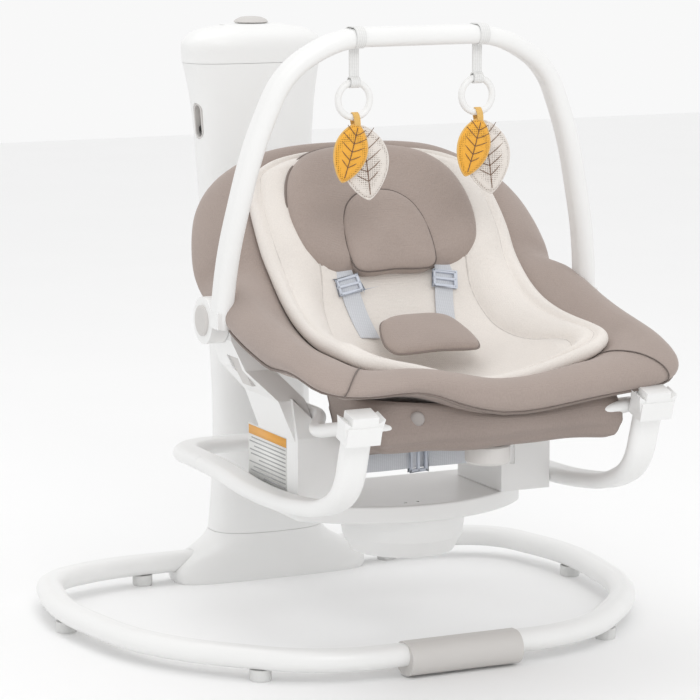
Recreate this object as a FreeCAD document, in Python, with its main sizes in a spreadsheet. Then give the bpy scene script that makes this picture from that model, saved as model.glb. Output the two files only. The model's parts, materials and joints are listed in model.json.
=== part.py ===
import FreeCAD, Part
import math
import os

import Sketcher

# Baby swing with a lift-off rocker seat.
# Millimetres. X is sideways, -Y is the front, +Z is up, and the floor is Z = 0.
# The origin is the centre of the bottom of the bounding box.

DRIVING = {
    "base": {
        "tube_wide": 34, "tube_high": 26, "tube_wall": 1.5, "tube_mid_z": 27,
        "base_front_y": -254, "base_rear_y": 307, "base_half_x": 362,
        "cover_long": 146, "cover_deep": 47, "cover_high": 40,
        "foot_pad_radius": 13, "foot_pad_high": 14,
    },
    "tower": {
        "wall": 3, "foot_half_x": 133, "foot_top": 26, "waist_z": 228, "seam_back": 8,
        "head_z": 678, "head_half_x": 94, "head_half_y": 45, "head_mid_y": 350,
        "waist_half_x": 66, "waist_half_y": 38, "lean_angle": 3.4,
        "lid_top": 727, "knob_radius": 23, "knob_high": 9,
        "post_wide": 56, "post_deep": 30, "post_long": 440, "post_wall": 2,
    },
    "drive": {
        "axle_z": 530, "axle_radius": 8, "bearing_radius": 16, "bearing_long": 9,
        "running_gap": 0.05, "wheel_radius": 22, "wheel_thick": 6, "wheel_z": 600,
        "worm_radius": 5, "motor_radius": 15, "motor_long": 42, "lever_thick": 4,
    },
    "swing": {
        "arm_wide": 64, "arm_thick": 24, "arm_y": 254, "arm_level_z": 153,
        "drum_y": -101, "drum_radius": 75, "drum_foot_radius": 67,
        "drum_top": 165, "drum_bottom": 118, "drum_wall": 4,
        "plate_bottom": 166.5, "plate_thick": 21.5, "plate_half_x": 150,
        "plate_front_radius": 200, "plate_rear_y": -15, "spindle_radius": 20,
    },
    "rocker": {
        "rail_x": 187, "rail_wall": 2, "rail_wide": 36, "rail_thick": 19, "bow_y": 165,
        "pivot_y": -83, "pivot_z": 410, "pivot_radius": 28, "pin_radius": 6,
        "bracket_in": 102, "bracket_out": 168, "bracket_bottom": 188.5,
        "bracket_front": -165, "bracket_back": -50, "bracket_wall": 3,
        "arm_in": 205, "arm_out": 230, "seat_tube": 16,
        "button_wide": 34, "button_high": 42,
        "strap_wide": 27, "strap_thick": 2,
    },
    "back": {
        "back_angle": 56, "back_pad_thick": 44, "insert_thick": 15,
        "pillow_thick": 26, "back_tube": 14,
    },
    "toys": {
        "bar_wide": 22, "bar_deep": 34, "bar_top_z": 740, "toy_x": 81,
        "ring_mean_radius": 20.5, "ring_section": 4, "leaf_thick": 6,
        "cap_radius": 18,
    },
}

doc = FreeCAD.newDocument("baby_swing")
sheet = doc.addObject("Spreadsheet::Sheet", "Sheet")
row = 1
for group, cells in DRIVING.items():
    sheet.set("A%d" % row, group)
    row += 1
    for name, value in cells.items():
        sheet.set("A%d" % row, name)
        sheet.set("B%d" % row, str(value))
        sheet.setAlias("B%d" % row, name)
        row += 1
doc.recompute()

nodes = []


def size(name):
    """The value of one driving dimension."""
    return float(sheet.get(name))


def vec(x, y, z):
    return FreeCAD.Vector(x, y, z)


X_AXIS = vec(1, 0, 0)
Y_AXIS = vec(0, 1, 0)
Z_AXIS = vec(0, 0, 1)


def keep(item, label):
    """Name a finished sub-part and put it on the list to export."""
    item.Label = label
    nodes.append(item)
    return item


def bind(item, **cells):
    """Tie properties of an object to expressions on the sheet."""
    for prop, expression in cells.items():
        item.setExpression(prop, expression)


def feature(label, shape):
    item = doc.addObject("Part::Feature", label)
    item.Shape = shape
    item.Placement = shape.Placement
    return keep(item, label)


# ---------------------------------------------------------------- shapes

def rounded_path(points, share=0.45):
    """Straight runs joined by tangent arcs, as one wire."""
    edges = []
    start = points[0]
    for before, corner, after in zip(points[:-2], points[1:-1], points[2:]):
        reach = share * min((corner - before).Length, (after - corner).Length)
        come = (before - corner).normalize()
        leave = (after - corner).normalize()
        first = corner + come * reach
        last = corner + leave * reach
        half = come.getAngle(leave) / 2
        middle_way = (come + leave).normalize()
        radius = reach * math.tan(half)
        centre = corner + middle_way * (reach / math.cos(half))
        middle = centre - middle_way * radius
        edges.append(Part.LineSegment(start, first).toShape())
        edges.append(Part.Arc(first, middle, last).toShape())
        start = last
    edges.append(Part.LineSegment(start, points[-1]).toShape())
    return Part.Wire(edges)


def flat_oval(centre, along, across, width, height):
    """A closed flat-oval wire: its width runs along across, its rounded ends are half circles."""
    side = vec(across.x, across.y, across.z).normalize()
    up = vec(along.x, along.y, along.z).cross(side).normalize()
    if width < height:
        side, up = up, side
        width, height = height, width
    half = (width - height) / 2 + 0.001
    radius = height / 2
    corners = [centre + side * (sign_s * half) + up * (sign_u * radius)
               for sign_s, sign_u in ((1, 1), (1, -1), (-1, -1), (-1, 1))]
    right_end = centre + side * (half + radius)
    left_end = centre - side * (half + radius)
    return Part.Wire([
        Part.Arc(corners[0], right_end, corners[1]).toShape(),
        Part.LineSegment(corners[1], corners[2]).toShape(),
        Part.Arc(corners[2], left_end, corners[3]).toShape(),
        Part.LineSegment(corners[3], corners[0]).toShape(),
    ])


def round_wire(centre, along, radius):
    return Part.Wire([Part.Circle(centre, along, radius).toShape()])


def sweep(path, profile, binormal):
    maker = Part.BRepOffsetAPI.MakePipeShell(path)
    maker.setBiNormalMode(binormal)
    maker.add(profile)
    maker.build()
    maker.makeSolid()
    return maker.shape()


def oval_bar(points, binormal, width, height, share=0.45):
    """A flat-oval bar: width lies in the plane of the path, height along the binormal."""
    along = (points[1] - points[0]).normalize()
    across = binormal.cross(along).normalize()
    profile = flat_oval(points[0], along, across, width, height)
    return sweep(rounded_path(points, share), profile, binormal)


def oval_tube(points, binormal, width, height, wall):
    """A hollow flat-oval bar, open at both ends."""
    outer = oval_bar(points, binormal, width, height)
    return outer.cut(oval_bar(points, binormal, width - 2 * wall, height - 2 * wall))


def round_tube(points, radius, wall):
    """A hollow round bar, open at both ends."""
    return round_bar(points, radius).cut(round_bar(points, radius - wall))


def round_bar(points, radius, share=0.45):
    """A round bar through points that need not lie in one plane."""
    along = (points[1] - points[0]).normalize()
    maker = Part.BRepOffsetAPI.MakePipeShell(rounded_path(points, share))
    maker.setFrenetMode(False)
    maker.add(round_wire(points[0], along, radius))
    maker.build()
    maker.makeSolid()
    return maker.shape()


def superellipse(half_x, half_y, mid_y, z, power=2.6, count=28):
    """A smooth closed wire at height z, squarer than an ellipse when power is above 2."""
    points = []
    for step in range(count):
        turn = 2 * math.pi * step / count
        cos_t = math.cos(turn)
        sin_t = math.sin(turn)
        x = half_x * math.copysign(abs(cos_t) ** (2 / power), cos_t)
        y = half_y * math.copysign(abs(sin_t) ** (2 / power), sin_t)
        points.append(vec(x, mid_y + y, z))
    curve = Part.BSplineCurve()
    curve.interpolate(points, PeriodicFlag=True)
    return Part.Wire([curve.toShape()])


def loft(wires, ruled=False):
    return Part.makeLoft(wires, True, ruled)


def polygon(points):
    return Part.makePolygon(points + [points[0]])


def block(x0, x1, y0, y1, z0, z1):
    return Part.makeBox(x1 - x0, y1 - y0, z1 - z0, vec(x0, y0, z0))


def extruded(points, direction):
    return Part.Face(polygon(points)).extrude(direction)


def mirrored(shape):
    """The same shape on the other side of the swing."""
    return shape.mirror(vec(0, 0, 0), X_AXIS)


def place(x, y, z, axis=Z_AXIS, angle=0):
    return FreeCAD.Placement(vec(x, y, z), FreeCAD.Rotation(axis, angle))


# ---------------------------------------------------------------- bodies

def plane_of(body, role):
    for item in body.Origin.OriginFeatures:
        if item.Role == role:
            return item
    raise ValueError(role)


def new_body(label, placement=None):
    body = doc.addObject("PartDesign::Body", label)
    if placement is not None:
        body.Placement = placement
    return keep(body, label)


def sketch_on(body, role, name, lift=None):
    sketch = body.newObject("Sketcher::SketchObject", name)
    sketch.AttachmentSupport = [(plane_of(body, role), "")]
    sketch.MapMode = "FlatFace"
    if lift is not None:
        sketch.setExpression("AttachmentOffset.Base.z", lift)
    return sketch


def circle_in(sketch, radius_cell, x=0, y=0):
    """One circle whose radius is a cell of the sheet."""
    index = sketch.addGeometry(Part.Circle(vec(x, y, 0), Z_AXIS, size(radius_cell)))
    constraint = sketch.addConstraint(Sketcher.Constraint("Radius", index, size(radius_cell)))
    sketch.setExpression("Constraints[%d]" % constraint, "Sheet." + radius_cell)


def lines_in(sketch, points):
    for first, second in zip(points, points[1:] + points[:1]):
        sketch.addGeometry(Part.LineSegment(vec(first[0], first[1], 0), vec(second[0], second[1], 0)))


def smooth_loop_in(sketch, points):
    curve = Part.BSplineCurve()
    curve.interpolate([vec(x, y, 0) for x, y in points], PeriodicFlag=True)
    sketch.addGeometry(curve)


def pad(body, sketch, length, name, midplane=False, back=False):
    made = body.newObject("PartDesign::Pad", name)
    made.Profile = sketch
    made.setExpression("Length", length)
    made.SideType = "Symmetric" if midplane else "One side"
    made.Reversed = back
    sketch.Visibility = False
    doc.recompute()
    return made


def pocket_through(body, sketch, name):
    before = body.Shape.Volume
    cut = body.newObject("PartDesign::Pocket", name)
    cut.Profile = sketch
    cut.Type = "ThroughAll"
    cut.SideType = "Symmetric"
    doc.recompute()
    assert body.Shape.Volume < before - 0.1, name + " cuts nothing"
    return cut


def revolve(body, sketch, name):
    """Turn a sketch on the XZ plane about its vertical axis."""
    turned = body.newObject("PartDesign::Revolution", name)
    turned.Profile = sketch
    turned.ReferenceAxis = (sketch, ["V_Axis"])
    turned.Angle = 360
    doc.recompute()
    return turned


def turned_body(label, profile, placement):
    """A body of revolution from (radius, height) points."""
    body = new_body(label, placement)
    sketch = sketch_on(body, "XZ_Plane", label + "_profile")
    lines_in(sketch, profile)
    revolve(body, sketch, label + "_turn")
    return body


def slab_body(label, loop, thickness, placement):
    """A flat pad with a smooth outline."""
    body = new_body(label, placement)
    sketch = sketch_on(body, "XY_Plane", label + "_outline")
    smooth_loop_in(sketch, loop)
    pad(body, sketch, thickness, label + "_pad")
    return body


def rod(label, radius, length, placement):
    item = doc.addObject("Part::Cylinder", label)
    bind(item, Radius=radius, Height=length)
    item.Placement = placement
    return item


def both_sides(half_loop):
    """Close an outline from its right half, listed from the bottom to the top."""
    return half_loop + [(-x, y) for x, y in reversed(half_loop) if x > 0]


# ---------------------------------------------------------------- base frame

def base_half_points():
    """Control points of the right half of the floor loop, from the front cover to the tower."""
    front = size("base_front_y")
    rear = size("base_rear_y")
    outer = size("base_half_x")
    mid_z = size("tube_mid_z")
    outline = [(0.2, front), (outer - 187, front), (outer - 32, front + 159), (outer, front + 374),
               (outer - 37, rear - 37), (outer - 132, rear), (40, rear)]
    return [vec(x, y, mid_z) for x, y in outline]


def make_base_tubes():
    wide = size("tube_wide")
    high = size("tube_high")
    wall = size("tube_wall")
    points = base_half_points()
    tube = oval_tube(points, Z_AXIS, wide, high, wall)
    feature("base_tube_right", tube)
    feature("base_tube_left", mirrored(tube))


def make_tube_sleeve():
    """The plug inside the two tube ends under the front cover."""
    gap = 2 * (size("tube_wall") + 0.15)
    body = new_body("tube_joint_sleeve", place(0, size("base_front_y"), size("tube_mid_z")))
    sketch = sketch_on(body, "YZ_Plane", "sleeve_profile")
    half = (size("tube_wide") - size("tube_high")) / 2
    radius = (size("tube_high") - gap) / 2
    add_flat_oval(sketch, half, radius)
    pad(body, sketch, "Sheet.cover_long * 0.7", "sleeve_pad", midplane=True)


def add_flat_oval(sketch, half, radius):
    """A flat oval about the sketch's origin, its straight sides along the sketch's X."""
    quarter = math.pi / 2
    sketch.addGeometry(Part.ArcOfCircle(Part.Circle(vec(half, 0, 0), Z_AXIS, radius), -quarter, quarter))
    sketch.addGeometry(Part.ArcOfCircle(Part.Circle(vec(-half, 0, 0), Z_AXIS, radius),
                                        quarter, 3 * quarter))
    sketch.addGeometry(Part.LineSegment(vec(-half, radius, 0), vec(half, radius, 0)))
    sketch.addGeometry(Part.LineSegment(vec(-half, -radius, 0), vec(half, -radius, 0)))


def make_front_cover():
    """The grey clamp cover round the joint of the two tubes, waisted at its ends."""
    body = new_body("front_cover", place(0, size("base_front_y") - 2, size("tube_mid_z") - 4.7))
    outer = sketch_on(body, "YZ_Plane", "cover_profile")
    add_flat_oval(outer, (size("cover_deep") - size("cover_high")) / 2, size("cover_high") / 2)
    pad(body, outer, "Sheet.cover_long", "cover_pad", midplane=True)
    bore = sketch_on(body, "YZ_Plane", "cover_bore")
    half = (size("tube_wide") - size("tube_high")) / 2
    add_flat_oval(bore, half, size("tube_high") / 2 + 0.2)
    bore.AttachmentOffset = FreeCAD.Placement(vec(2, 4.7, 0), FreeCAD.Rotation())
    pocket_through(body, bore, "cover_bore_cut")


def nearest_on_base(target):
    wire = rounded_path(base_half_points())
    return wire.distToShape(Part.Vertex(target))[1][0][0]


def make_rubber_feet():
    radius = size("foot_pad_radius")
    high = size("foot_pad_high")
    mid_z = size("tube_mid_z")
    targets = [vec(178, 307, mid_z), vec(364, 115, mid_z), vec(229, -195, mid_z)]
    pads = []
    for target in targets:
        spot = nearest_on_base(target)
        for side in (-1, 1):
            centre = vec(side * spot.x, spot.y, 0)
            foot = Part.makeCone(radius - 1, radius, 3, centre)
            rise = Part.makeCylinder(radius, high - 3, vec(centre.x, centre.y, 3))
            pads.append(foot.fuse(rise).removeSplitter())
    feature("rubber_feet", Part.makeCompound(pads))


# ---------------------------------------------------------------- tower

def tower_sections(inset):
    """Cross-sections of the leaning tower, from the top of its foot up to the lid."""
    stations = [
        (63, 77, 45, 314), (130, 70, 41, 318), (size("waist_z"), size("waist_half_x"),
                                                 size("waist_half_y"), 324),
        (400, 72, 38, 334), (574, 80, 40, 344),
        (size("head_z"), size("head_half_x"), size("head_half_y"), size("head_mid_y")),
    ]
    return [superellipse(half_x - inset, half_y - inset, mid_y, z)
            for z, half_x, half_y, mid_y in stations]


def port_prism(grow, depth_in, depth_out):
    """The slot-shaped recess on the left of the head: 20 wide and 47 high."""
    rotation = FreeCAD.Rotation(vec(0.107, -0.994, 0), Z_AXIS.cross(vec(0.107, -0.994, 0)),
                                vec(-0.989, -0.107, -0.08), "ZXY")
    shape = Part.Face(flat_oval(vec(0, 0, -depth_in), Z_AXIS, Y_AXIS, 47 + 2 * grow, 20 + 2 * grow))
    prism = shape.extrude(vec(0, 0, depth_in + depth_out))
    prism.Placement = FreeCAD.Placement(vec(-80.5, 338, 603), rotation)
    return prism


def make_tower_shells():
    wall = size("wall")
    outer = loft(tower_sections(0))
    inner = loft(tower_sections(wall))
    shell = outer.cut(inner)
    axle_bore = Part.makeCylinder(26, 60, vec(0, 270, size("axle_z")), Y_AXIS)
    shell = shell.cut(axle_bore).cut(port_prism(0.3, 14, 8))
    cutter = Part.makeBox(400, 400, 1000, vec(-200, -400, -100))
    cutter.Placement = place(0, 314 + size("seam_back"), 63, X_AXIS, -size("lean_angle"))
    front = shell.common(cutter)
    cutter.Placement = place(0, 314 + size("seam_back") + 0.3, 63, X_AXIS, -size("lean_angle"))
    rear = shell.cut(cutter)
    feature("tower_front_shell", front)
    holes = []
    screws = []
    for z in (110, 300, 480, 640):
        for side in (-1, 1):
            x = side * (40 if z < 600 else 56)
            probe = Part.makeLine(vec(x, 330, z), vec(x, 430, z))
            back = rear.common(probe).BoundBox.YMax
            holes.append(Part.makeCylinder(3.6, 60, vec(x, back - 30, z), Y_AXIS))
            head = Part.makeCylinder(3.4, 2.2, vec(x, back - 3.2, z), Y_AXIS)
            shank = Part.makeCylinder(1.7, 12, vec(x, back - 15.2, z), Y_AXIS)
            screws.append(head.fuse(shank).removeSplitter())
    feature("tower_rear_shell", rear.cut(holes))
    feature("shell_screws", Part.makeCompound(screws))


def foot_sections(inset):
    half_x = size("foot_half_x")
    top = size("foot_top")
    stations = [(0, half_x, 37, 305, 4), (top - 4, half_x - 1, 37, 305, 4),
                (top + 6, half_x - 12, 38, 306, 3.6), (top + 18, 100, 41, 309, 3), (62.6, 78, 45, 314, 2.6)]
    return [superellipse(width - inset, depth - inset, mid_y, z - inset * 0.3 if z > 1 else z, power)
            for z, width, depth, mid_y, power in stations]


def make_tower_foot():
    outer = loft(foot_sections(0))
    inner = loft(foot_sections(size("wall")))
    shell = outer.cut(inner)
    path_z = size("tube_mid_z")
    channel = Part.Face(flat_oval(vec(-160, size("base_rear_y"), path_z), X_AXIS, Y_AXIS,
                                  size("tube_wide") + 0.6, size("tube_high") + 0.6))
    shell = shell.cut(channel.extrude(vec(320, 0, 0)))
    top_hole = block(-size("post_wide") / 2 - 1, size("post_wide") / 2 + 1, 296, 334, 30, 70)
    feature("tower_foot", shell.cut(top_hole))


def make_tower_post():
    """The steel post that stands on the two tube ends, with its foot plate."""
    wide = size("post_wide")
    deep = size("post_deep")
    wall = size("post_wall")
    outer = block(-wide / 2, wide / 2, -deep / 2, deep / 2, 0, size("post_long"))
    inner = block(-wide / 2 + wall, wide / 2 - wall, -deep / 2 + wall, deep / 2 - wall,
                  -1, size("post_long") + 1)
    post = outer.cut(inner)
    post.Placement = place(0, 312, 46, X_AXIS, -size("lean_angle"))
    plate = block(-66, 66, 293, 321, 40.3, 43.3)
    lower = block(-wide / 2, wide / 2, 297.5, 326.5, 43.2, 49)
    feature("tower_post", plate.fuse([post, lower]).removeSplitter())


KNOB_X = 5
KNOB_BACK = 12


def make_head_lid():
    """A domed lid with a straight skirt."""
    base_z = size("head_z") + 0.4
    half_x = size("head_half_x")
    half_y = size("head_half_y")
    mid_y = size("head_mid_y")
    top = size("lid_top")

    def stack(inset):
        stations = [(0, 0.5, 0), (0.16, 1.2, 0.4), (0.32, 2, 0.8), (0.46, 2.2, 0.8), (0.57, 0.8, 0),
                    (0.68, -3.5, -2), (0.78, -10, -6), (0.87, -20, -12), (1, -50, -29)]
        wires = []
        for share, grow_x, grow_y in stations:
            z = base_z + (top - base_z) * share
            level = z if share == 0 else z - inset
            wires.append(superellipse(half_x + grow_x - inset, half_y + grow_y - inset, mid_y, level,
                                      2.5))
        return loft(wires)

    lid = stack(0).cut(stack(size("wall")))
    seat = Part.makeCylinder(7, 40, vec(KNOB_X, mid_y + KNOB_BACK, top - 30))
    feature("head_lid", lid.cut(seat))


def make_control_knob():
    """A shallow domed knob on a stem that turns in the lid."""
    radius = size("knob_radius")
    high = size("knob_high")
    top = size("lid_top")
    profile = [(0, -12), (5, -12), (5, 0.6), (radius - 2, 0.6), (radius, 2), (radius - 3, high * 0.55),
               (radius * 0.6, high * 0.87), (radius * 0.3, high * 0.97), (0, high)]
    turned_body("control_knob", profile, place(KNOB_X, size("head_mid_y") + KNOB_BACK, top))


def make_side_port():
    cover = port_prism(0, 12, 0.6)
    pit = port_prism(-2.5, 10, 4)
    feature("side_port_cover", cover.cut(pit))
    jack = Part.makeCylinder(6, 7, vec(0, -12, -9.9))
    bore = Part.makeCylinder(3, 6, vec(0, -12, -7.9))
    body = jack.cut(bore)
    body.Placement = port_prism(0, 1, 1).Placement
    feature("power_jack", body)


# ---------------------------------------------------------------- drive

def make_drive_frame():
    """A folded bracket on top of the post that holds both bearings and the motor."""
    top_of_post = 46 + size("post_long") + 2
    axle_z = size("axle_z")
    floor = block(-32, 32, 312, 369, top_of_post, top_of_post + 3)
    shape = floor
    for y in (312, 366):
        cheek = block(-32, 32, y, y + 3, top_of_post, axle_z + 110)
        shape = shape.fuse(cheek)
    hole = Part.makeCylinder(size("bearing_radius"), 90, vec(0, 300, axle_z), Y_AXIS)
    window = Part.makeCylinder(14, 90, vec(0, 300, size("wheel_z")), Y_AXIS)
    feature("drive_frame", shape.cut(hole).cut(window).removeSplitter())


def make_bearings():
    rings = []
    radius = size("axle_radius") + size("running_gap")
    long = size("bearing_long")
    for y in (309, 363):
        ring = Part.makeCylinder(size("bearing_radius") - 0.02, long, vec(0, y, size("axle_z")), Y_AXIS)
        bore = Part.makeCylinder(radius, long + 2, vec(0, y - 1, size("axle_z")), Y_AXIS)
        rings.append(ring.cut(bore))
    feature("axle_bearings", Part.makeCompound(rings))


def make_drive_wheel():
    """The worm wheel with its crank pin."""
    placement = place(0, 324, size("wheel_z"), X_AXIS, -90)
    body = new_body("drive_wheel", placement)
    disc = sketch_on(body, "XY_Plane", "wheel_disc")
    circle_in(disc, "wheel_radius")
    pad(body, disc, "Sheet.wheel_thick", "wheel_pad")
    tooth = sketch_on(body, "XY_Plane", "wheel_gap")
    reach = size("wheel_radius")
    lines_in(tooth, [(reach - 2.4, -0.6), (reach + 1, -1.6), (reach + 1, 1.6), (reach - 2.4, 0.6)])
    before = body.Shape.Volume
    gap = body.newObject("PartDesign::Pocket", "wheel_gap_cut")
    gap.Profile = tooth
    gap.Type = "ThroughAll"
    gap.SideType = "Symmetric"
    doc.recompute()
    assert body.Shape.Volume < before, "the tooth gap cuts nothing"
    ring = body.newObject("PartDesign::PolarPattern", "wheel_teeth")
    ring.Originals = [gap]
    ring.Axis = (tooth, ["N_Axis"])
    ring.Angle = 360
    ring.Occurrences = 30
    body.Tip = ring
    doc.recompute()
    pin = sketch_on(body, "XY_Plane", "wheel_pin")
    pin.addGeometry(Part.Circle(vec(0, 10, 0), Z_AXIS, 3))
    pad(body, pin, "Sheet.wheel_thick + 5", "wheel_pin_pad")


def make_worm():
    """The worm on the motor's shaft, with turned thread grooves."""
    radius = size("worm_radius")
    pitch = 4
    profile = [(0, 0), (radius - 1.6, 0)]
    for turn in range(7):
        start = turn * pitch
        profile += [(radius, start + 1), (radius, start + 2), (radius - 1.6, start + 3.4)]
    profile += [(radius - 1.6, 28.5), (0, 28.5)]
    worm_z = size("wheel_z") + size("wheel_radius") + radius + 0.4
    turned_body("motor_worm", profile, place(-14, 327, worm_z, Y_AXIS, 90))


def make_motor():
    worm_z = size("wheel_z") + size("wheel_radius") + size("worm_radius") + 0.4
    can = rod("motor_can", "Sheet.motor_radius", "Sheet.motor_long",
              place(-15 - size("motor_long"), 331, worm_z, Y_AXIS, 90))
    flat = doc.addObject("Part::Box", "motor_flat")
    bind(flat, Length="Sheet.motor_long", Width="Sheet.motor_radius * 2", Height="Sheet.motor_radius * 1.5")
    flat.Placement = place(-15 - size("motor_long"), 331 - size("motor_radius"),
                           worm_z - size("motor_radius") * 0.75)
    body = doc.addObject("Part::Common", "drive_motor")
    body.Base = can
    body.Tool = flat
    keep(body, "drive_motor")


def make_circuit_board():
    board = doc.addObject("Part::Box", "circuit_board")
    bind(board, Length="Sheet.head_half_x * 1.2", Width="Sheet.head_half_y * 1.1", Height="1.6")
    board.Placement = place(-0.6 * size("head_half_x"), 326, 662)
    keep(board, "circuit_board")


# ---------------------------------------------------------------- swing

def make_swing_axle():
    axle = rod("swing_axle", "Sheet.axle_radius", "107", place(0, 266.4, size("axle_z"), X_AXIS, -90))
    keep(axle, "swing_axle")


def make_crank_lever():
    """The slotted lever on the axle; the slot is where the crank pin would drive it."""
    thick = size("lever_thick")
    axle_z = size("axle_z")
    wheel_z = size("wheel_z")
    y = 336.5
    hub = Part.makeCylinder(14, thick, vec(0, y, axle_z), Y_AXIS)
    bar = block(-9, 9, y, y + thick, axle_z, wheel_z + 13)
    slot = block(-3.3, 3.3, y - 1, y + thick + 1, wheel_z - 16, wheel_z + 9)
    bore = Part.makeCylinder(size("axle_radius") + 0.01, thick + 2, vec(0, y - 1, axle_z), Y_AXIS)
    feature("crank_lever", hub.fuse(bar).cut(slot).cut(bore).removeSplitter())


def make_swing_arm():
    """The hanging arm: down from the axle, then forward under the seat to the drum."""
    y = size("arm_y")
    level = size("arm_level_z")
    wide = size("arm_wide")
    thick = size("arm_thick")
    points = [vec(0, y, size("axle_z") + 4), vec(0, y, 190), vec(0, y - 37, level), vec(0, -60, level)]
    bar = oval_tube(points, X_AXIS, thick, wide, 2.5)
    head = Part.makeCylinder(wide / 2, thick, vec(0, y - thick / 2, size("axle_z")), Y_AXIS)
    boss = Part.makeCylinder(20, 26, vec(0, y + thick / 2 - 1, size("axle_z")), Y_AXIS)
    drum = Part.makeCylinder(size("drum_radius") + 0.02, 90, vec(0, size("drum_y"), 100))
    bore = Part.makeCylinder(size("axle_radius") + 0.01, 90, vec(0, y + thick / 2, size("axle_z")), Y_AXIS)
    feature("swing_arm", bar.fuse([head, boss]).cut(drum).cut(bore).removeSplitter())


def make_drum():
    """The round housing under the turntable: a turned cup with a bearing bore in its top."""
    radius = size("drum_radius")
    foot = size("drum_foot_radius")
    wall = size("drum_wall")
    top = size("drum_top")
    bottom = size("drum_bottom")
    bore = size("spindle_radius") + size("running_gap")
    profile = [(bore, top), (radius - 1.5, top), (radius, top - 1.5), (radius, top - 14),
               (radius - 2, top - 28), (foot, bottom + 8), (foot - 4, bottom),
               (foot - 4 - wall, bottom), (foot - wall, bottom + 8), (radius - 2 - wall, top - 28),
               (radius - wall, top - 12), (radius - wall, top - 5), (bore + 6, top - 5),
               (bore + 6, top - 30), (bore, top - 30)]
    turned_body("drum_housing", profile, place(0, size("drum_y"), 0))
    plate = rod("drum_bottom_cover", "Sheet.drum_foot_radius - 4 - Sheet.drum_wall - 0.2", "3",
                place(0, size("drum_y"), bottom + 0.4))
    keep(plate, "drum_bottom_cover")


def make_turntable():
    """The plate that carries the seat: an arc in front, straight sides and back."""
    half = size("plate_half_x")
    front_radius = size("plate_front_radius")
    rear = size("plate_rear_y")
    arc_mid = 10
    side_y = arc_mid - math.sqrt(front_radius ** 2 - half ** 2)
    body = new_body("turntable_plate")
    sketch = sketch_on(body, "XY_Plane", "plate_outline", "Sheet.plate_bottom")
    low = math.atan2(side_y - arc_mid, -half) % (2 * math.pi)
    high = math.atan2(side_y - arc_mid, half) % (2 * math.pi)
    sketch.addGeometry(Part.ArcOfCircle(Part.Circle(vec(0, arc_mid, 0), Z_AXIS, front_radius), low, high))
    corners = [(half, side_y), (half, rear), (-half, rear), (-half, side_y)]
    for first, second in zip(corners, corners[1:]):
        sketch.addGeometry(Part.LineSegment(vec(first[0], first[1], 0), vec(second[0], second[1], 0)))
    solid = pad(body, sketch, "Sheet.plate_thick", "plate_pad")
    upright = ["Edge%d" % (i + 1) for i, edge in enumerate(solid.Shape.Edges)
               if abs(edge.tangentAt(edge.FirstParameter).z) > 0.99]
    corners = body.newObject("PartDesign::Fillet", "plate_corners")
    corners.Base = (solid, upright)
    corners.Radius = 14
    doc.recompute()
    rims = ["Edge%d" % (i + 1) for i, edge in enumerate(corners.Shape.Edges)
            if abs(edge.BoundBox.ZMin - edge.BoundBox.ZMax) < 0.01]
    soft = body.newObject("PartDesign::Fillet", "plate_rims")
    soft.Base = (corners, rims)
    soft.Radius = 3
    doc.recompute()
    dots = sketch_on(body, "XY_Plane", "plate_dots")
    for x in (-30, -14):
        dots.addGeometry(Part.Circle(vec(x, -171, 0), Z_AXIS, 2.2))
    pocket_through(body, dots, "plate_dot_holes")
    hollows = sketch_on(body, "XY_Plane", "plate_hollows", "Sheet.plate_bottom")
    for side in (-1, 1):
        near = side * (size("spindle_radius") + 14)
        far = side * (half - 6)
        lines_in(hollows, [(near, side_y - 22), (far, side_y), (far, rear - 6), (near, rear - 6)])
    before = body.Shape.Volume
    cut = body.newObject("PartDesign::Pocket", "plate_hollow_cut")
    cut.Profile = hollows
    cut.setExpression("Length", "Sheet.plate_thick - 3.5")
    cut.Reversed = True
    doc.recompute()
    assert body.Shape.Volume < before - 1, "the plate's hollows cut nothing"
    radius = size("spindle_radius")
    top = size("plate_bottom") - 0.05
    bottom = size("drum_top") - 34
    profile = [(0, top), (radius + 8, top), (radius + 8, top - 1), (radius, top - 1), (radius, bottom),
               (0, bottom)]
    turned_body("turntable_spindle", profile, place(0, size("drum_y"), 0))


# ---------------------------------------------------------------- rocker frame

def make_rails():
    x = size("rail_x")
    wide = size("rail_wide")
    thick = size("rail_thick")
    points = [vec(x, 60, 208), vec(x, 10, 207), vec(x, -90, 199.5), vec(x, -190, 203), vec(x, -283, 216),
              vec(x, -342, 244), vec(x, -371, 334)]
    wall = size("rail_wall")
    rail = oval_tube(points, X_AXIS, thick, wide, wall)
    feature("rocker_rail_right", rail)
    feature("rocker_rail_left", mirrored(rail))
    bow_y = size("bow_y")
    bow_points = [vec(x, 60.3, 208), vec(x, bow_y, 208), vec(-x, bow_y, 208), vec(-x, 60.3, 208)]
    feature("rear_bow", oval_tube(bow_points, Z_AXIS, wide, thick, wall))


def make_front_sockets():
    """The two white caps on the rail tops, with raised ears that hold the seat's front tube."""
    x = size("rail_x")
    lean = place(0, 0, 0, X_AXIS, 17)
    sockets = []
    for side in (-1, 1):
        cap = block(-21, 21, -14, 14, 0, 22)
        neck = block(-16, 16, -12, 12, 20, 34)
        ears = extruded([vec(-21, -11, 8), vec(-25, -11, 30), vec(-15, -11, 24), vec(15, -11, 24),
                         vec(25, -11, 30), vec(21, -11, 8)], vec(0, 22, 0))
        body = cap.fuse([neck, ears]).removeSplitter()
        body.Placement = lean
        body.translate(vec(side * x, -369, 310))
        sockets.append(body)
    joined = Part.makeCompound(sockets)
    rail_top = oval_bar([vec(x, -283, 216), vec(x, -342, 244), vec(x, -371, 334)], X_AXIS,
                        size("rail_thick") + 0.4, size("rail_wide") + 0.4)
    cleared = joined.cut(rail_top).cut(mirrored(rail_top))
    feature("front_sockets", Part.makeCompound(cleared.Solids))


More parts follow.
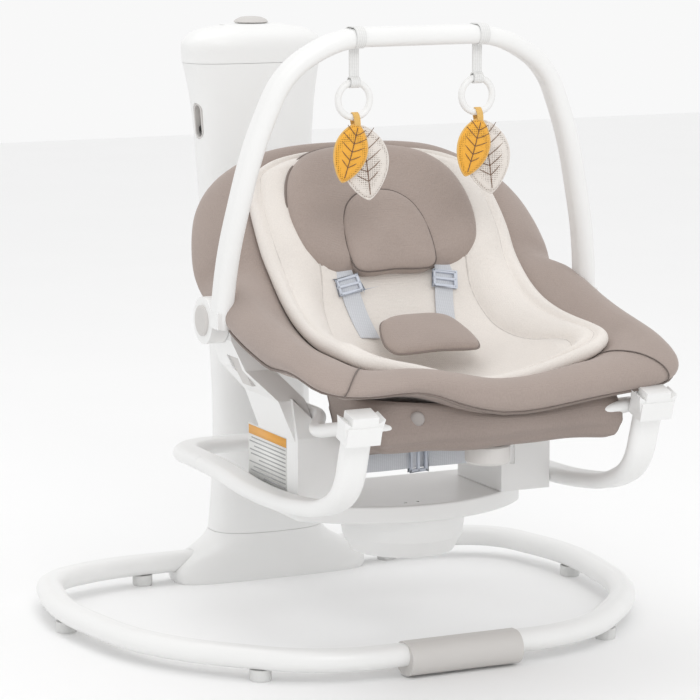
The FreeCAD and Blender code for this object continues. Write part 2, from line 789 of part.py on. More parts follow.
def bracket_solid():
    """One hollow bracket: a low box beside the rail and a broad arm up to the pivot."""
    inner = size("bracket_in")
    outer = size("bracket_out")
    front = size("bracket_front")
    back = size("bracket_back")
    bottom = size("bracket_bottom")
    pivot_y = size("pivot_y")
    pivot_z = size("pivot_z")

    def outside(inset):
        face = [vec(inner + inset, 0, bottom + inset), vec(outer - inset, 0, bottom + inset),
                vec(outer - inset, 0, 320), vec(142, 0, 292 - inset), vec(124, 0, 282 - inset),
                vec(inner + inset, 0, 262 - inset)]
        shift = vec(0, front + inset, 0)
        box = extruded([point + shift for point in face], vec(0, back - front - 2 * inset, 0))
        side = [vec(90, front + inset, 180), vec(90, back - inset, 180), vec(90, back - inset, 320),
                vec(90, -150, 320), vec(90, front + inset, 275 - inset)]
        box = box.common(extruded(side, vec(100, 0, 0)))
        levels = [(270, 136, outer, -158, -54), (318, 150, 184, -146, -48),
                  (352, 178, 214, -119, -42), (388, 205.5, 229.5, -113, -48),
                  (404, 205.5, 229.5, -110, -54)]
        wires = []
        for z, x0, x1, y0, y1 in levels:
            wires.append(polygon([vec(x0 + inset, y0 + inset, z), vec(x1 - inset, y0 + inset, z),
                                  vec(x1 - inset, y1 - inset, z), vec(x0 + inset, y1 - inset, z)]))
        arm = loft(wires, True)
        return box.fuse(arm)

    hub = Part.makeCylinder(size("pivot_radius"), size("arm_out") - size("arm_in"),
                            vec(size("arm_in"), pivot_y, pivot_z), X_AXIS)
    bore = Part.makeCylinder(size("pin_radius") + 0.02, 60, vec(190, pivot_y, pivot_z), X_AXIS)
    shell = outside(0).fuse(hub).cut(bore)
    hollow = outside(size("bracket_wall"))
    hollow = hollow.cut(block(0, 300, -400, 100, 366, 500))
    slot = block(114, 120, front - 5, front + 1.6, 222, 256)
    window = button_prism(0.35)
    belt = block(inner - 2, inner + 6, -157.5, -150.5, 224.5, 254.5)
    return shell.cut(hollow).cut(slot).cut(window).cut(belt).removeSplitter()


def button_prism(grow):
    """The release button's block on the outer face of the bracket's arm."""
    half_y = size("button_wide") / 2 + grow
    z0 = 331 - grow
    z1 = z0 + size("button_high") + 2 * grow
    y = -94
    outline = [vec(0, y - half_y * 0.75, z0), vec(0, y + half_y * 0.75, z0), vec(0, y + half_y, z1),
               vec(0, y - half_y, z1 - 2)]
    return extruded([point + vec(182 - grow, 0, 0) for point in outline], vec(38 + 2 * grow, 0, 0))


def make_brackets():
    right = bracket_solid()
    feature("bracket_right", right)
    feature("bracket_left", mirrored(right))
    face = [vec(190, -70, 331), vec(201, -70, 331), vec(221, -70, 373), vec(203, -70, 373)]
    slant = extruded([point + vec(0, -60, 0) for point in face], vec(0, 90, 0))
    button = button_prism(0).common(slant)
    feature("release_button_right", button)
    feature("release_button_left", mirrored(button))


def make_pivot_pins():
    length = size("arm_out") + 1.5 - 163
    pins = []
    for side in (-1, 1):
        start = 163 if side > 0 else -163 - length
        pins.append(Part.makeCylinder(size("pin_radius"), length,
                                      vec(start, size("pivot_y"), size("pivot_z")), X_AXIS))
    feature("pivot_pins", Part.makeCompound(pins))


def make_seat_frame():
    """The tube under the seat, from bracket to bracket round the front."""
    radius = size("seat_tube") / 2
    half = [(136, -70, 300.5), (136, -158, 300.5), (150, -184, 298), (186, -250, 300), (184, -343, 321),
            (148, -352, 317), (75, -345, 302)]
    points = [vec(px, py, pz) for px, py, pz in half]
    points += [vec(-px, py, pz) for px, py, pz in reversed(half)]
    tube = round_tube(points, radius, 1.5)
    feature("seat_frame", tube)


def make_retaining_strap():
    """The webbing belt between the brackets, with its slide buckle."""
    half = size("bracket_in") + 4
    wide = size("strap_wide")
    thick = size("strap_thick")
    strap = block(-half, half, -155, -155 + thick, 226, 226 + wide)
    outer = block(-17.5, 17.5, -158.5, -149.5, 222, 257)
    inner = block(-13.5, -2, -165, -140, 225.5, 253.5)
    second = block(2, 13.5, -165, -140, 225.5, 253.5)
    strap = strap.cut(block(-19, 19, -170, -140, 220, 260))
    feature("retaining_strap", Part.makeCompound(strap.Solids))
    feature("strap_buckle", outer.cut(inner).cut(second))


# ---------------------------------------------------------------- seat pads

SEAT_STATIONS = [
    # y, half width, rim height, middle height, thickness
    (-395.4, 150, 356, 353, 9),
    (-372, 205, 372, 354, 14),
    (-320, 229, 375, 338, 34),
    (-250, 240, 388, 324, 34),
    (-180, 243, 405, 316, 32),
    (-136, 236, 424, 318, 28),
    (-122, 178, 430, 322, 26),
]


def dish_wire(y, half, rim, middle, thick, lift, share):
    """A closed U-shaped section at one y: a top line and the same line lowered."""
    steps = (-1, -0.84, -0.62, -0.34, 0, 0.34, 0.62, 0.84, 1)
    top = []
    bottom = []
    for step in steps:
        x = half * share * step
        rise = (rim - middle) * abs(share * step) ** 2.6
        top.append(vec(x, y, middle + rise + lift + thick))
        bottom.append(vec(x, y, middle + rise + lift))
    return polygon(top + bottom[::-1])


def make_seat_pads():
    pad_wires = []
    for y, half, rim, middle, thick in SEAT_STATIONS:
        pad_wires.append(dish_wire(y, half, rim, middle, thick, -thick, 1))
    feature("seat_pad", loft(pad_wires, True))
    insert_wires = []
    for y, half, rim, middle, thick in SEAT_STATIONS[2:]:
        insert_wires.append(dish_wire(y, half, rim, middle, 13, 3.5, 0.66 if half > 200 else 0.8))
    feature("seat_insert", loft(insert_wires, True))


def make_crotch_pad():
    """The padded cover over the harness buckle, above the seat."""
    loop = both_sides([(0, -34), (40, -33), (60, -24), (64, 0), (58, 22), (38, 30), (0, 31)])
    slab_body("crotch_pad", loop, "16", place(0, -172, 372, X_AXIS, 30))


def make_seat_sling():
    """The fabric trough that hangs under the seat down to the belt."""
    upper = [(-124, 288), (-108, 276), (-96, 252), (0, 246), (96, 252), (108, 276), (124, 288)]
    outline = [vec(x, -300, z) for x, z in upper]
    outline += [vec(x * 0.985, -300, z - 5) for x, z in reversed(upper)]
    feature("seat_sling", extruded(outline, vec(0, 128, 0)))


def make_vibration_unit():
    """The round vibration box under the front of the seat, with its push button."""
    box = turned_body("vibration_unit", [(9.6, 0), (24, 0), (26, 3), (26, 20), (24, 22), (0, 22), (0, 12),
                                         (9.6, 12)],
                      place(0, -322, 262, X_AXIS, 0))
    button = turned_body("vibration_button", [(0, 0), (8.2, 0), (9, 1), (9, 9), (0, 9)],
                         place(0, -322, 259, X_AXIS, 0))
    return box, button


# ---------------------------------------------------------------- backrest

def back_place(rise, out, x=0):
    """A frame on the backrest: local Y runs up the back, local Z faces the child."""
    angle = math.radians(size("back_angle"))
    y = -70 + rise * math.cos(angle) - out * math.sin(angle)
    z = 400 + rise * math.sin(angle) + out * math.cos(angle)
    return place(x, y, z, X_AXIS, size("back_angle"))


def back_point(x, rise, out):
    return back_place(rise, out, x).Base


BACK_OUTLINE = [(0, 28), (110, 28), (172, 32), (215, 44), (234, 66), (233, 102), (220, 140), (198, 170),
                (162, 198), (100, 222), (0, 230)]
INSERT_OUTLINE = [(0, 30), (95, 30), (140, 36), (160, 70), (158, 120), (140, 165), (95, 200), (0, 212)]
PILLOW_OUTLINE = [(0, 44), (55, 46), (96, 62), (119, 104), (112, 150), (84, 190), (40, 210), (0, 215)]


def make_back_soft():
    thick = size("back_pad_thick")
    insert = size("insert_thick")
    slab_body("back_pad", both_sides(BACK_OUTLINE), "Sheet.back_pad_thick", back_place(0, -thick))
    slab_body("back_insert", both_sides(INSERT_OUTLINE), "Sheet.insert_thick", back_place(0, 0.6))
    slab_body("head_pillow", both_sides(PILLOW_OUTLINE), "Sheet.pillow_thick", back_place(0, insert + 1.2))


def make_back_frame():
    """The tube behind the back pad, hinged on the pivot pins."""
    radius = size("back_tube") / 2
    behind = -size("back_pad_thick") - 2.5 - radius
    half = [back_point(174, 26, behind), back_point(184, 80, behind), back_point(184, 130, behind),
            back_point(150, 178, behind), back_point(60, 205, behind)]
    other = [vec(-point.x, point.y, point.z) for point in reversed(half)]
    pivot = vec(174, size("pivot_y"), size("pivot_z"))
    points = [pivot] + half + other + [vec(-pivot.x, pivot.y, pivot.z)]
    tube = round_tube(points, radius, 1.5)
    shapes = [tube]
    for start in (165, -204.6):
        shapes.append(Part.makeCylinder(14, 39.6, vec(start, size("pivot_y"), size("pivot_z")), X_AXIS))
    bore = Part.makeCylinder(size("pin_radius") + 0.05, 500, vec(-250, size("pivot_y"), size("pivot_z")),
                             X_AXIS)
    feature("back_frame", shapes[0].fuse(shapes[1:]).cut(bore).removeSplitter())


def make_recline_parts():
    """The squeeze handle on the back of the frame's top bar, and its fixed housing."""
    behind = -size("back_pad_thick") - 2
    body = new_body("recline_housing", back_place(161.5, behind - 26))
    sketch = sketch_on(body, "XY_Plane", "recline_housing_outline")
    lines_in(sketch, [(-45, 0), (45, 0), (45, 34), (-45, 34)])
    sketch2 = sketch_on(body, "XY_Plane", "recline_housing_slot")
    lines_in(sketch2, [(-35.5, 5), (35.5, 5), (35.5, 29), (-35.5, 29)])
    pad(body, sketch, "26", "recline_housing_pad")
    before = body.Shape.Volume
    cut = body.newObject("PartDesign::Pocket", "recline_housing_cut")
    cut.Profile = sketch2
    cut.Length = 14
    cut.Reversed = True
    doc.recompute()
    assert body.Shape.Volume < before - 1, "the handle slot cuts nothing"
    handle = new_body("recline_handle", back_place(161.5, behind - 32))
    grip = sketch_on(handle, "XY_Plane", "recline_handle_outline")
    lines_in(grip, [(-35, 5.5), (35, 5.5), (35, 28.5), (-35, 28.5)])
    pad(handle, grip, "14", "recline_handle_pad")


def make_shoulder_straps():
    """Two webbing straps down the front of the back pad, with a slider on each."""
    thick = size("strap_thick")
    out = size("insert_thick") + 1.2
    straps = []
    sliders = []
    for side in (-1, 1):
        strap = block(-11, 11, 0, 12, 0, thick)
        strap.Placement = back_place(29.5, out, side * 66)
        straps.append(strap)
        slider = block(-15, 15, 0, 9, -0.1, 7)
        slider = slider.cut(block(-12, 12, -1, 30, 1.4, 4.4))
        slider.Placement = back_place(31, out + thick + 0.4, side * 66)
        sliders.append(slider)
    feature("shoulder_straps", Part.makeCompound(straps))
    feature("strap_sliders", Part.makeCompound(sliders))


# ---------------------------------------------------------------- toy bar

BAR_START_Y = -113
BAR_LEAN = -0.078


def bar_point(x, z):
    return vec(x, BAR_START_Y + BAR_LEAN * (z - size("pivot_z")), z)


def bar_path():
    """The arch of the toy bar, from its right hub over to its left hub."""
    half = [(243, 405), (236.5, 490), (209, 613), (172, 702), (104, size("bar_top_z"))]
    return [bar_point(x, z) for x, z in half] + [bar_point(-x, z) for x, z in reversed(half)]


def bar_face():
    lean = vec(0, BAR_LEAN, 1).normalize()
    return lean.cross(X_AXIS).normalize()


def make_toy_bar():
    bar = oval_tube(bar_path(), bar_face(), size("bar_wide"), size("bar_deep"), 2.5)
    y = size("pivot_y")
    z = size("pivot_z")
    shapes = []
    for side in (-1, 1):
        start = size("arm_out") + 1 if side > 0 else -size("arm_out") - 23
        hub = Part.makeCylinder(size("pivot_radius"), 22, vec(start, y, z), X_AXIS)
        web = block(start, start + 22, -129, y, z - 5, z + 14)
        shapes += [hub, web]
    body = bar.fuse(shapes).removeSplitter()
    bore = Part.makeCylinder(size("pin_radius") + 0.05, 500, vec(-250, y, z), X_AXIS)
    feature("toy_bar", body.cut(bore.common(block(-232.6, 232.6, -400, 400, 0, 800))))


def make_hub_caps():
    caps = []
    for side in (-1, 1):
        start = size("arm_out") + 23.02
        cap = Part.makeCylinder(size("cap_radius"), 2.4, vec(start, size("pivot_y"), size("pivot_z")), X_AXIS)
        cap = cap.fuse(Part.makeCone(size("cap_radius") - 0.5, size("cap_radius") - 2.5, 1,
                                     vec(start + 2.4, size("pivot_y"), size("pivot_z")), X_AXIS))
        caps.append(cap if side > 0 else mirrored(cap))
    feature("hub_caps", Part.makeCompound(caps))


def toy_hang():
    """The middle of the ring's top section, where the strap holds it."""
    return bar_point(size("toy_x"), 687.5)


def make_toy_straps():
    """White loops from the bar down to the rings."""
    wide = 12
    hang = toy_hang()
    top = bar_point(0, size("bar_top_z"))
    bar = oval_bar(bar_path(), bar_face(), size("bar_wide") + 0.6, size("bar_deep") + 0.6)
    loops = []
    for side in (-1, 1):
        x = side * size("toy_x") - wide / 2
        band = Part.Face(flat_oval(vec(x, top.y, top.z), X_AXIS, Y_AXIS, size("bar_deep") + 3.4,
                                   size("bar_wide") + 3.4))
        band = band.extrude(vec(wide, 0, 0))
        hole = Part.Face(flat_oval(vec(x - 1, top.y, top.z), X_AXIS, Y_AXIS, size("bar_deep") + 1,
                                   size("bar_wide") + 1)).extrude(vec(wide + 2, 0, 0))
        tail = block(x, x + wide, hang.y - 1.2, hang.y + 1.2, hang.z + 4.5, top.z - 12)
        eye = Part.makeCylinder(6.8, wide, vec(x, hang.y, hang.z), X_AXIS)
        gap = Part.makeCylinder(5.5, wide + 2, vec(x - 1, hang.y, hang.z), X_AXIS)
        loops.append(band.fuse([tail, eye]).cut([hole, gap, bar]).removeSplitter())
    feature("toy_straps", Part.makeCompound(loops))


def leaf_loop(length, width):
    """A pointed leaf outline, tip down, as two bowed sides."""
    side = [(0, -length), (0.30 * width, -0.80 * length), (0.5 * width, -0.45 * length),
            (0.40 * width, -0.16 * length), (0.10 * width, -0.01 * length)]
    return side + [(-x, y) for x, y in reversed(side) if x > 0]


def make_toys():
    mean = size("ring_mean_radius")
    for side, word in ((-1, "left"), (1, "right")):
        hang = toy_hang()
        x = side * size("toy_x")
        ring = doc.addObject("Part::Torus", "toy_ring_" + word)
        bind(ring, Radius1="Sheet.ring_mean_radius", Radius2="Sheet.ring_section")
        ring.Placement = place(x, hang.y, hang.z - mean, X_AXIS, 90)
        keep(ring, "toy_ring_" + word)
        leaves = []
        low = hang.z - 2 * mean - size("ring_section") - 0.6
        for depth, shift, drop, tilt, length, width in ((-0.6, -6, 0, -17, 70, 41), (6.4, 5, 3, 10, 84, 45)):
            wire = polygon([vec(px, py, 0) for px, py in leaf_loop(length, width)])
            leaf = Part.Face(wire).extrude(vec(0, 0, size("leaf_thick")))
            turn = FreeCAD.Rotation(X_AXIS, 90).multiply(FreeCAD.Rotation(Z_AXIS, tilt))
            leaf.Placement = FreeCAD.Placement(vec(x + shift, hang.y + depth, low - drop), turn)
            leaves.append(leaf)
        feature("toy_leaves_" + word, Part.makeCompound(leaves))


make_base_tubes()
make_tube_sleeve()
make_front_cover()
make_rubber_feet()
make_tower_shells()
make_tower_foot()
make_tower_post()
make_head_lid()
make_control_knob()
make_side_port()
make_drive_frame()
make_bearings()
make_drive_wheel()
make_worm()
make_motor()
make_circuit_board()
make_swing_axle()
make_crank_lever()
make_swing_arm()
make_drum()
make_turntable()
make_rails()
make_front_sockets()
make_brackets()
make_pivot_pins()
make_seat_frame()
make_retaining_strap()
make_seat_pads()
make_crotch_pad()
make_seat_sling()
make_vibration_unit()
make_back_soft()
make_back_frame()
make_recline_parts()
make_shoulder_straps()
make_toy_bar()
make_hub_caps()
make_toy_straps()
make_toys()

doc.recompute()

for item in doc.Objects:
    bad = [word for word in item.State if word in ("Invalid", "Error")]
    assert not bad, item.Label + " did not compute"
for item in nodes:
    assert not item.Shape.isNull(), item.Label + " is empty"
    assert item.Shape.isValid(), item.Label + " is not valid"
    assert item.Shape.Volume > 1, item.Label + " has no volume"

os.makedirs("parts", exist_ok=True)
for item in nodes:
    item.Shape.exportStep("parts/" + item.Label + ".step")
whole = Part.makeCompound([item.Shape for item in nodes]).BoundBox
print(len(nodes), "nodes", whole)
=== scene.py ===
import json
import math

import bmesh
import bpy
import numpy as np
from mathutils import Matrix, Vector
from mathutils.bvhtree import BVHTree


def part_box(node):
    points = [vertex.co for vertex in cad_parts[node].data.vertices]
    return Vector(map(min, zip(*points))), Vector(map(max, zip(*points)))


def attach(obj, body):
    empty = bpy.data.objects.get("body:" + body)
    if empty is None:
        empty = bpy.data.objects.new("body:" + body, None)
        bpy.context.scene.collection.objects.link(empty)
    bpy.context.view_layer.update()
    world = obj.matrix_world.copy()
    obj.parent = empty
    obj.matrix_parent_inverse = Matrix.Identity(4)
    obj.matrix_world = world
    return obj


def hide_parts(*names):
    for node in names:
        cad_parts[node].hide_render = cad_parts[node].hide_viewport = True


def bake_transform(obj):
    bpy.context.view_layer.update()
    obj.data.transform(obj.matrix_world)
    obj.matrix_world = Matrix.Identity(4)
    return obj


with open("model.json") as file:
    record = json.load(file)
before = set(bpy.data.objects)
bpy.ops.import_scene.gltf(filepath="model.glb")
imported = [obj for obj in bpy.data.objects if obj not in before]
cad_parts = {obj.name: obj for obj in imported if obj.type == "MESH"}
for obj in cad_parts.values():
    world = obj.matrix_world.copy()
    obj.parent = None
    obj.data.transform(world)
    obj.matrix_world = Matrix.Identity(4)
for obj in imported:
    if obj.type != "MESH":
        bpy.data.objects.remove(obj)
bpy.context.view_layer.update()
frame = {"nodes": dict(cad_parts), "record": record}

MM = 0.001
RING = 96           # points round each closed loop of a cushion
HALF = RING // 2

# ---------------------------------------------------------------- node materials


def new_material(name, colour, roughness, **shader):
    """A Principled material and the handles that its detail is wired to."""
    material = bpy.data.materials.new(name)
    material.use_nodes = True
    tree = material.node_tree
    bsdf = tree.nodes["Principled BSDF"]
    bsdf.inputs["Base Color"].default_value = (*colour, 1)
    bsdf.inputs["Roughness"].default_value = roughness
    for key, value in shader.items():
        bsdf.inputs[key.replace("_", " ")].default_value = value
    coords = tree.nodes.new("ShaderNodeTexCoord")
    return material, tree, bsdf, coords.outputs["Object"]


def noise(tree, where, scale, detail=3.0, stretch=None):
    """A noise value over the object, stretched along an axis when asked."""
    if stretch is not None:
        mapping = tree.nodes.new("ShaderNodeMapping")
        mapping.inputs["Scale"].default_value = stretch
        tree.links.new(where, mapping.inputs["Vector"])
        where = mapping.outputs["Vector"]
    node = tree.nodes.new("ShaderNodeTexNoise")
    node.inputs["Scale"].default_value = scale
    node.inputs["Detail"].default_value = detail
    tree.links.new(where, node.inputs["Vector"])
    return node.outputs["Fac"]


def wave(tree, where, scale, direction, distortion=0.0, profile="SIN"):
    """Even bands across one axis, for ribs of yarn."""
    node = tree.nodes.new("ShaderNodeTexWave")
    node.wave_type = "BANDS"
    node.bands_direction = direction
    node.wave_profile = profile
    node.inputs["Scale"].default_value = scale
    node.inputs["Distortion"].default_value = distortion
    node.inputs["Detail"].default_value = 1.0
    tree.links.new(where, node.inputs["Vector"])
    return node.outputs["Fac"]


def mixed(tree, first, second, kind="MULTIPLY"):
    """Two values or numbers joined by one operation."""
    node = tree.nodes.new("ShaderNodeMath")
    node.operation = kind
    for index, value in enumerate((first, second)):
        if isinstance(value, (int, float)):
            node.inputs[index].default_value = value
        else:
            tree.links.new(value, node.inputs[index])
    return node.outputs["Value"]


def ramp(tree, factor, low, high, low_at=0.0, high_at=1.0):
    """A colour between low and high, led by a value."""
    node = tree.nodes.new("ShaderNodeValToRGB")
    node.color_ramp.elements[0].position = low_at
    node.color_ramp.elements[0].color = (*low, 1)
    node.color_ramp.elements[1].position = high_at
    node.color_ramp.elements[1].color = (*high, 1)
    tree.links.new(factor, node.inputs["Fac"])
    return node.outputs["Color"]


def spread(tree, factor, low, high):
    """A value from 0 to 1 spread from low to high."""
    node = tree.nodes.new("ShaderNodeMapRange")
    node.inputs["To Min"].default_value = low
    node.inputs["To Max"].default_value = high
    tree.links.new(factor, node.inputs["Value"])
    return node.outputs["Result"]


def bump(tree, bsdf, height, strength, distance, base=None):
    """Relief from a height value, laid over an earlier relief when one is given."""
    node = tree.nodes.new("ShaderNodeBump")
    node.inputs["Strength"].default_value = strength
    node.inputs["Distance"].default_value = distance
    tree.links.new(height, node.inputs["Height"])
    if base is not None:
        tree.links.new(base, node.inputs["Normal"])
    tree.links.new(node.outputs["Normal"], bsdf.inputs["Normal"])
    return node.outputs["Normal"]


def shade(colour, factor):
    """The same colour, darker or lighter."""
    return tuple(channel * factor for channel in colour)


def moulded_plastic(name, colour, roughness, grain=0.12, coat=0.0):
    """Injection-moulded plastic: a fine spark grain, faint flow tone, soft sheen."""
    material, tree, bsdf, where = new_material(name, colour, roughness, Coat_Weight=coat,
                                               Coat_Roughness=0.25)
    tone = noise(tree, where, 9.0, 2.0)
    tree.links.new(ramp(tree, tone, shade(colour, 0.975), colour, 0.3, 0.65), bsdf.inputs["Base Color"])
    scuff = noise(tree, where, 60.0, 4.0)
    tree.links.new(spread(tree, scuff, roughness - 0.06, roughness + 0.08), bsdf.inputs["Roughness"])
    bump(tree, bsdf, noise(tree, where, 2600.0, 1.0), grain, 0.0004)
    return material


def coated_metal(name, colour):
    """Powder-coated tube: slight orange-peel under a satin gloss."""
    material, tree, bsdf, where = new_material(name, colour, 0.34, Coat_Weight=0.15, Coat_Roughness=0.2)
    tone = noise(tree, where, 6.0, 2.0)
    tree.links.new(ramp(tree, tone, shade(colour, 0.98), colour, 0.35, 0.6), bsdf.inputs["Base Color"])
    tree.links.new(spread(tree, noise(tree, where, 45.0), 0.29, 0.40), bsdf.inputs["Roughness"])
    bump(tree, bsdf, noise(tree, where, 420.0, 2.0), 0.10, 0.0005)
    return material


def bare_metal(name, colour, roughness):
    """Plated steel with a fine brushed grain."""
    material, tree, bsdf, where = new_material(name, colour, roughness, Metallic=1.0)
    brushed = noise(tree, where, 300.0, 2.0, (1.0, 14.0, 1.0))
    tree.links.new(spread(tree, brushed, roughness - 0.1, roughness + 0.15), bsdf.inputs["Roughness"])
    bump(tree, bsdf, brushed, 0.08, 0.0003)
    return material


def knit(name, colour, stitch=900.0, depth=0.35, melange=0.05, sheen=0.35):
    """Brushed jersey: fine crossed ribs, a fleecy nap and a slightly mixed yarn."""
    material, tree, bsdf, where = new_material(name, colour, 0.92, Sheen_Weight=sheen, Sheen_Roughness=0.5,
                                               Specular_IOR_Level=0.25)
    bsdf.inputs["Sheen Tint"].default_value = (*[min(1, 0.5 + channel * 0.6) for channel in colour], 1)
    ribs = mixed(tree, wave(tree, where, stitch / 6.2, "X", 1.2), wave(tree, where, stitch / 6.2, "Z", 1.2))
    ribs = mixed(tree, ribs, wave(tree, where, stitch / 6.2, "Y", 1.2), "ADD")
    nap = noise(tree, where, stitch * 1.3, 4.0)
    yarn = noise(tree, where, 750.0, 2.0, (1.0, 1.0, 0.35))
    cloud = noise(tree, where, 14.0, 3.0)
    mix = mixed(tree, mixed(tree, yarn, 0.6), mixed(tree, cloud, 0.4), "ADD")
    tone = ramp(tree, mix, shade(colour, 1 - 2.2 * melange), shade(colour, 1 + melange), 0.3, 0.72)
    tree.links.new(tone, bsdf.inputs["Base Color"])
    relief = mixed(tree, mixed(tree, ribs, 0.5), nap, "ADD")
    soft = bump(tree, bsdf, noise(tree, where, 70.0, 3.0), 0.10, 0.002)
    bump(tree, bsdf, relief, depth, 0.0006, soft)
    return material


def webbing(name, colour):
    """Flat woven tape: a herringbone of tight ribs."""
    material, tree, bsdf, where = new_material(name, colour, 0.62, Sheen_Weight=0.15,
                                               Specular_IOR_Level=0.4)
    ribs = mixed(tree, wave(tree, where, 190.0, "Z", 0.3, "TRI"), wave(tree, where, 120.0, "X", 0.3, "TRI"))
    tone = ramp(tree, ribs, shade(colour, 0.86), colour, 0.0, 0.6)
    tree.links.new(tone, bsdf.inputs["Base Color"])
    bump(tree, bsdf, ribs, 0.5, 0.0006)
    return material


def mesh_knit(name, colour, dot):
    """Open-mesh knit of the toy leaves: a grid of small dark eyelets."""
    material, tree, bsdf, where = new_material(name, colour, 0.9, Sheen_Weight=0.2)
    eyelet = tree.nodes.new("ShaderNodeTexVoronoi")
    eyelet.inputs["Scale"].default_value = 420.0
    eyelet.inputs["Randomness"].default_value = 0.15
    tree.links.new(where, eyelet.inputs["Vector"])
    distance = eyelet.outputs["Distance"]
    tree.links.new(ramp(tree, distance, dot, colour, 0.22, 0.42), bsdf.inputs["Base Color"])
    bump(tree, bsdf, distance, 0.5, 0.0008)
    return material


WHITE = (0.86, 0.86, 0.852)
TAUPE = (0.385, 0.318, 0.285)
CREAM = (0.80, 0.755, 0.71)
TAPE = (0.66, 0.68, 0.72)
YELLOW = (0.86, 0.43, 0.055)

SLOT_MATERIALS = {
    "white_metal": coated_metal("white_powder_coat", WHITE),
    "white_plastic": moulded_plastic("white_moulding", WHITE, 0.36, 0.10, 0.08),
    "grey_plastic": moulded_plastic("grey_moulding", (0.62, 0.60, 0.58), 0.48, 0.2),
    "rubber_feet": moulded_plastic("foot_rubber", (0.70, 0.70, 0.69), 0.75, 0.3),
    "bare_steel": bare_metal("zinc_plate", (0.62, 0.62, 0.62), 0.35),
    "dark_plastic": moulded_plastic("dark_moulding", (0.045, 0.042, 0.04), 0.5, 0.2),
    "taupe_fabric": knit("taupe_jersey", TAUPE),
    "cream_fabric": knit("cream_jersey", CREAM, melange=0.03),
    "webbing": webbing("grey_tape", TAPE),
    "buckle_plastic": moulded_plastic("buckle_moulding", (0.60, 0.64, 0.72), 0.4, 0.1),
    "leaf_fabric": mesh_knit("yellow_mesh", YELLOW, shade(YELLOW, 0.45)),
}
PIPING = knit("taupe_piping", shade(TAUPE, 0.62), stitch=1400.0)
# Very dark taupe cords laid in creases and dents: painted shade of the sewn creases, not a thread colour.
SEAM_SHADE = knit("taupe_seam_shade", shade(TAUPE, 0.42), stitch=1400.0)
# Darker cream cords in the insert's groove and at its sunk middle: painted shade of the groove and the step.
CREAM_SEAM_SHADE = knit("cream_seam_shade", shade(CREAM, 0.80), stitch=1400.0)
SLING = knit("sling_cloth", shade(TAUPE, 0.80), stitch=1100.0, sheen=0.2)
CREAM_MESH = mesh_knit("cream_mesh", (0.78, 0.73, 0.68), (0.36, 0.31, 0.27))
BROWN_THREAD = knit("brown_thread", (0.20, 0.11, 0.07), stitch=1400.0)
YELLOW_TAPE = knit("yellow_tape", (0.80, 0.50, 0.16), stitch=1200.0)
WHITE_TAPE = webbing("white_tape", (0.84, 0.84, 0.83))
SNAP = moulded_plastic("snap_taupe", (0.33, 0.30, 0.285), 0.45, 0.1)
STICKER = moulded_plastic("sticker_white", (0.86, 0.86, 0.84), 0.5, 0.05)
STICKER_BAND = moulded_plastic("sticker_orange", (0.86, 0.42, 0.08), 0.5, 0.05)
STICKER_BAR = moulded_plastic("sticker_grey", (0.42, 0.42, 0.42), 0.5, 0.05)

for part in frame["record"]["subparts"]:
    node = frame["nodes"][part["node"]]
    node.data.materials.clear()
    node.data.materials.append(SLOT_MATERIALS[part["material_slot"]])
frame["nodes"]["toy_straps"].data.materials[0] = WHITE_TAPE

# ---------------------------------------------------------------- mesh helpers


def smooth_open(points, count):
    """A centripetal spline through a list of points, sampled evenly by control span."""
    pts = np.array(points, float)
    pts = np.vstack([2 * pts[0] - pts[1], pts, 2 * pts[-1] - pts[-2]])
    spans = len(pts) - 3
    samples = []
    for step in range(count):
        where = min(step * spans / (count - 1), spans - 1e-9)
        index = int(where)
        samples.append(spline_point(*pts[index:index + 4], where - index))
    return np.array(samples)


def spline_point(p0, p1, p2, p3, local):
    """The point a share local of the way from p1 to p2."""
    def knot(before, a, b):
        return before + max(np.linalg.norm(b - a), 1e-6) ** 0.5

    t0 = 0.0
    t1 = knot(t0, p0, p1)
    t2 = knot(t1, p1, p2)
    t3 = knot(t2, p2, p3)
    t = t1 + (t2 - t1) * local
    a1 = (t1 - t) / (t1 - t0) * p0 + (t - t0) / (t1 - t0) * p1
    a2 = (t2 - t) / (t2 - t1) * p1 + (t - t1) / (t2 - t1) * p2
    a3 = (t3 - t) / (t3 - t2) * p2 + (t - t2) / (t3 - t2) * p3
    b1 = (t2 - t) / (t2 - t0) * a1 + (t - t0) / (t2 - t0) * a2
    b2 = (t3 - t) / (t3 - t1) * a2 + (t - t1) / (t3 - t1) * a3
    return (t2 - t) / (t2 - t1) * b1 + (t - t1) / (t2 - t1) * b2


def evened(half):
    """Resample a half outline so its stations lie at equal arc length."""
    fine = smooth_open(half, 600)
    steps = np.linalg.norm(np.diff(fine, axis=0), axis=1)
    run = np.concatenate([[0], np.cumsum(steps)])
    goal = np.linspace(0, run[-1], HALF + 1)
    return np.stack([np.interp(goal, run, fine[:, axis]) for axis in range(3)], axis=1)


def mirrored_ring(half_points):
    """A closed ring of RING points from HALF + 1 points of its right side."""
    left = half_points[1:-1][::-1] * (-1, 1, 1)
    return np.vstack([half_points, left])


def build_mesh(name, verts, faces, material, levels=0, metres=MM):
    """An object from points in millimetres, subdivided when levels is given."""
    mesh = bpy.data.meshes.new(name)
    mesh.from_pydata([tuple(v) for v in np.array(verts) * metres], [], [tuple(f) for f in faces])
    mesh.materials.append(material)
    obj = bpy.data.objects.new(name, mesh)
    bpy.context.collection.objects.link(obj)
    if levels:
        subdivided = obj.modifiers.new("subdivide", "SUBSURF")
        subdivided.levels = levels
        apply_modifiers(obj)
    make_normals_outward(obj)
    for polygon in obj.data.polygons:
        polygon.use_smooth = True
    return obj


def apply_modifiers(obj):
    """Bake the modifiers into the mesh."""
    bpy.context.view_layer.update()
    graph = bpy.context.evaluated_depsgraph_get()
    baked = bpy.data.meshes.new_from_object(obj.evaluated_get(graph))
    obj.modifiers.clear()
    old = obj.data
    obj.data = baked
    bpy.data.meshes.remove(old)


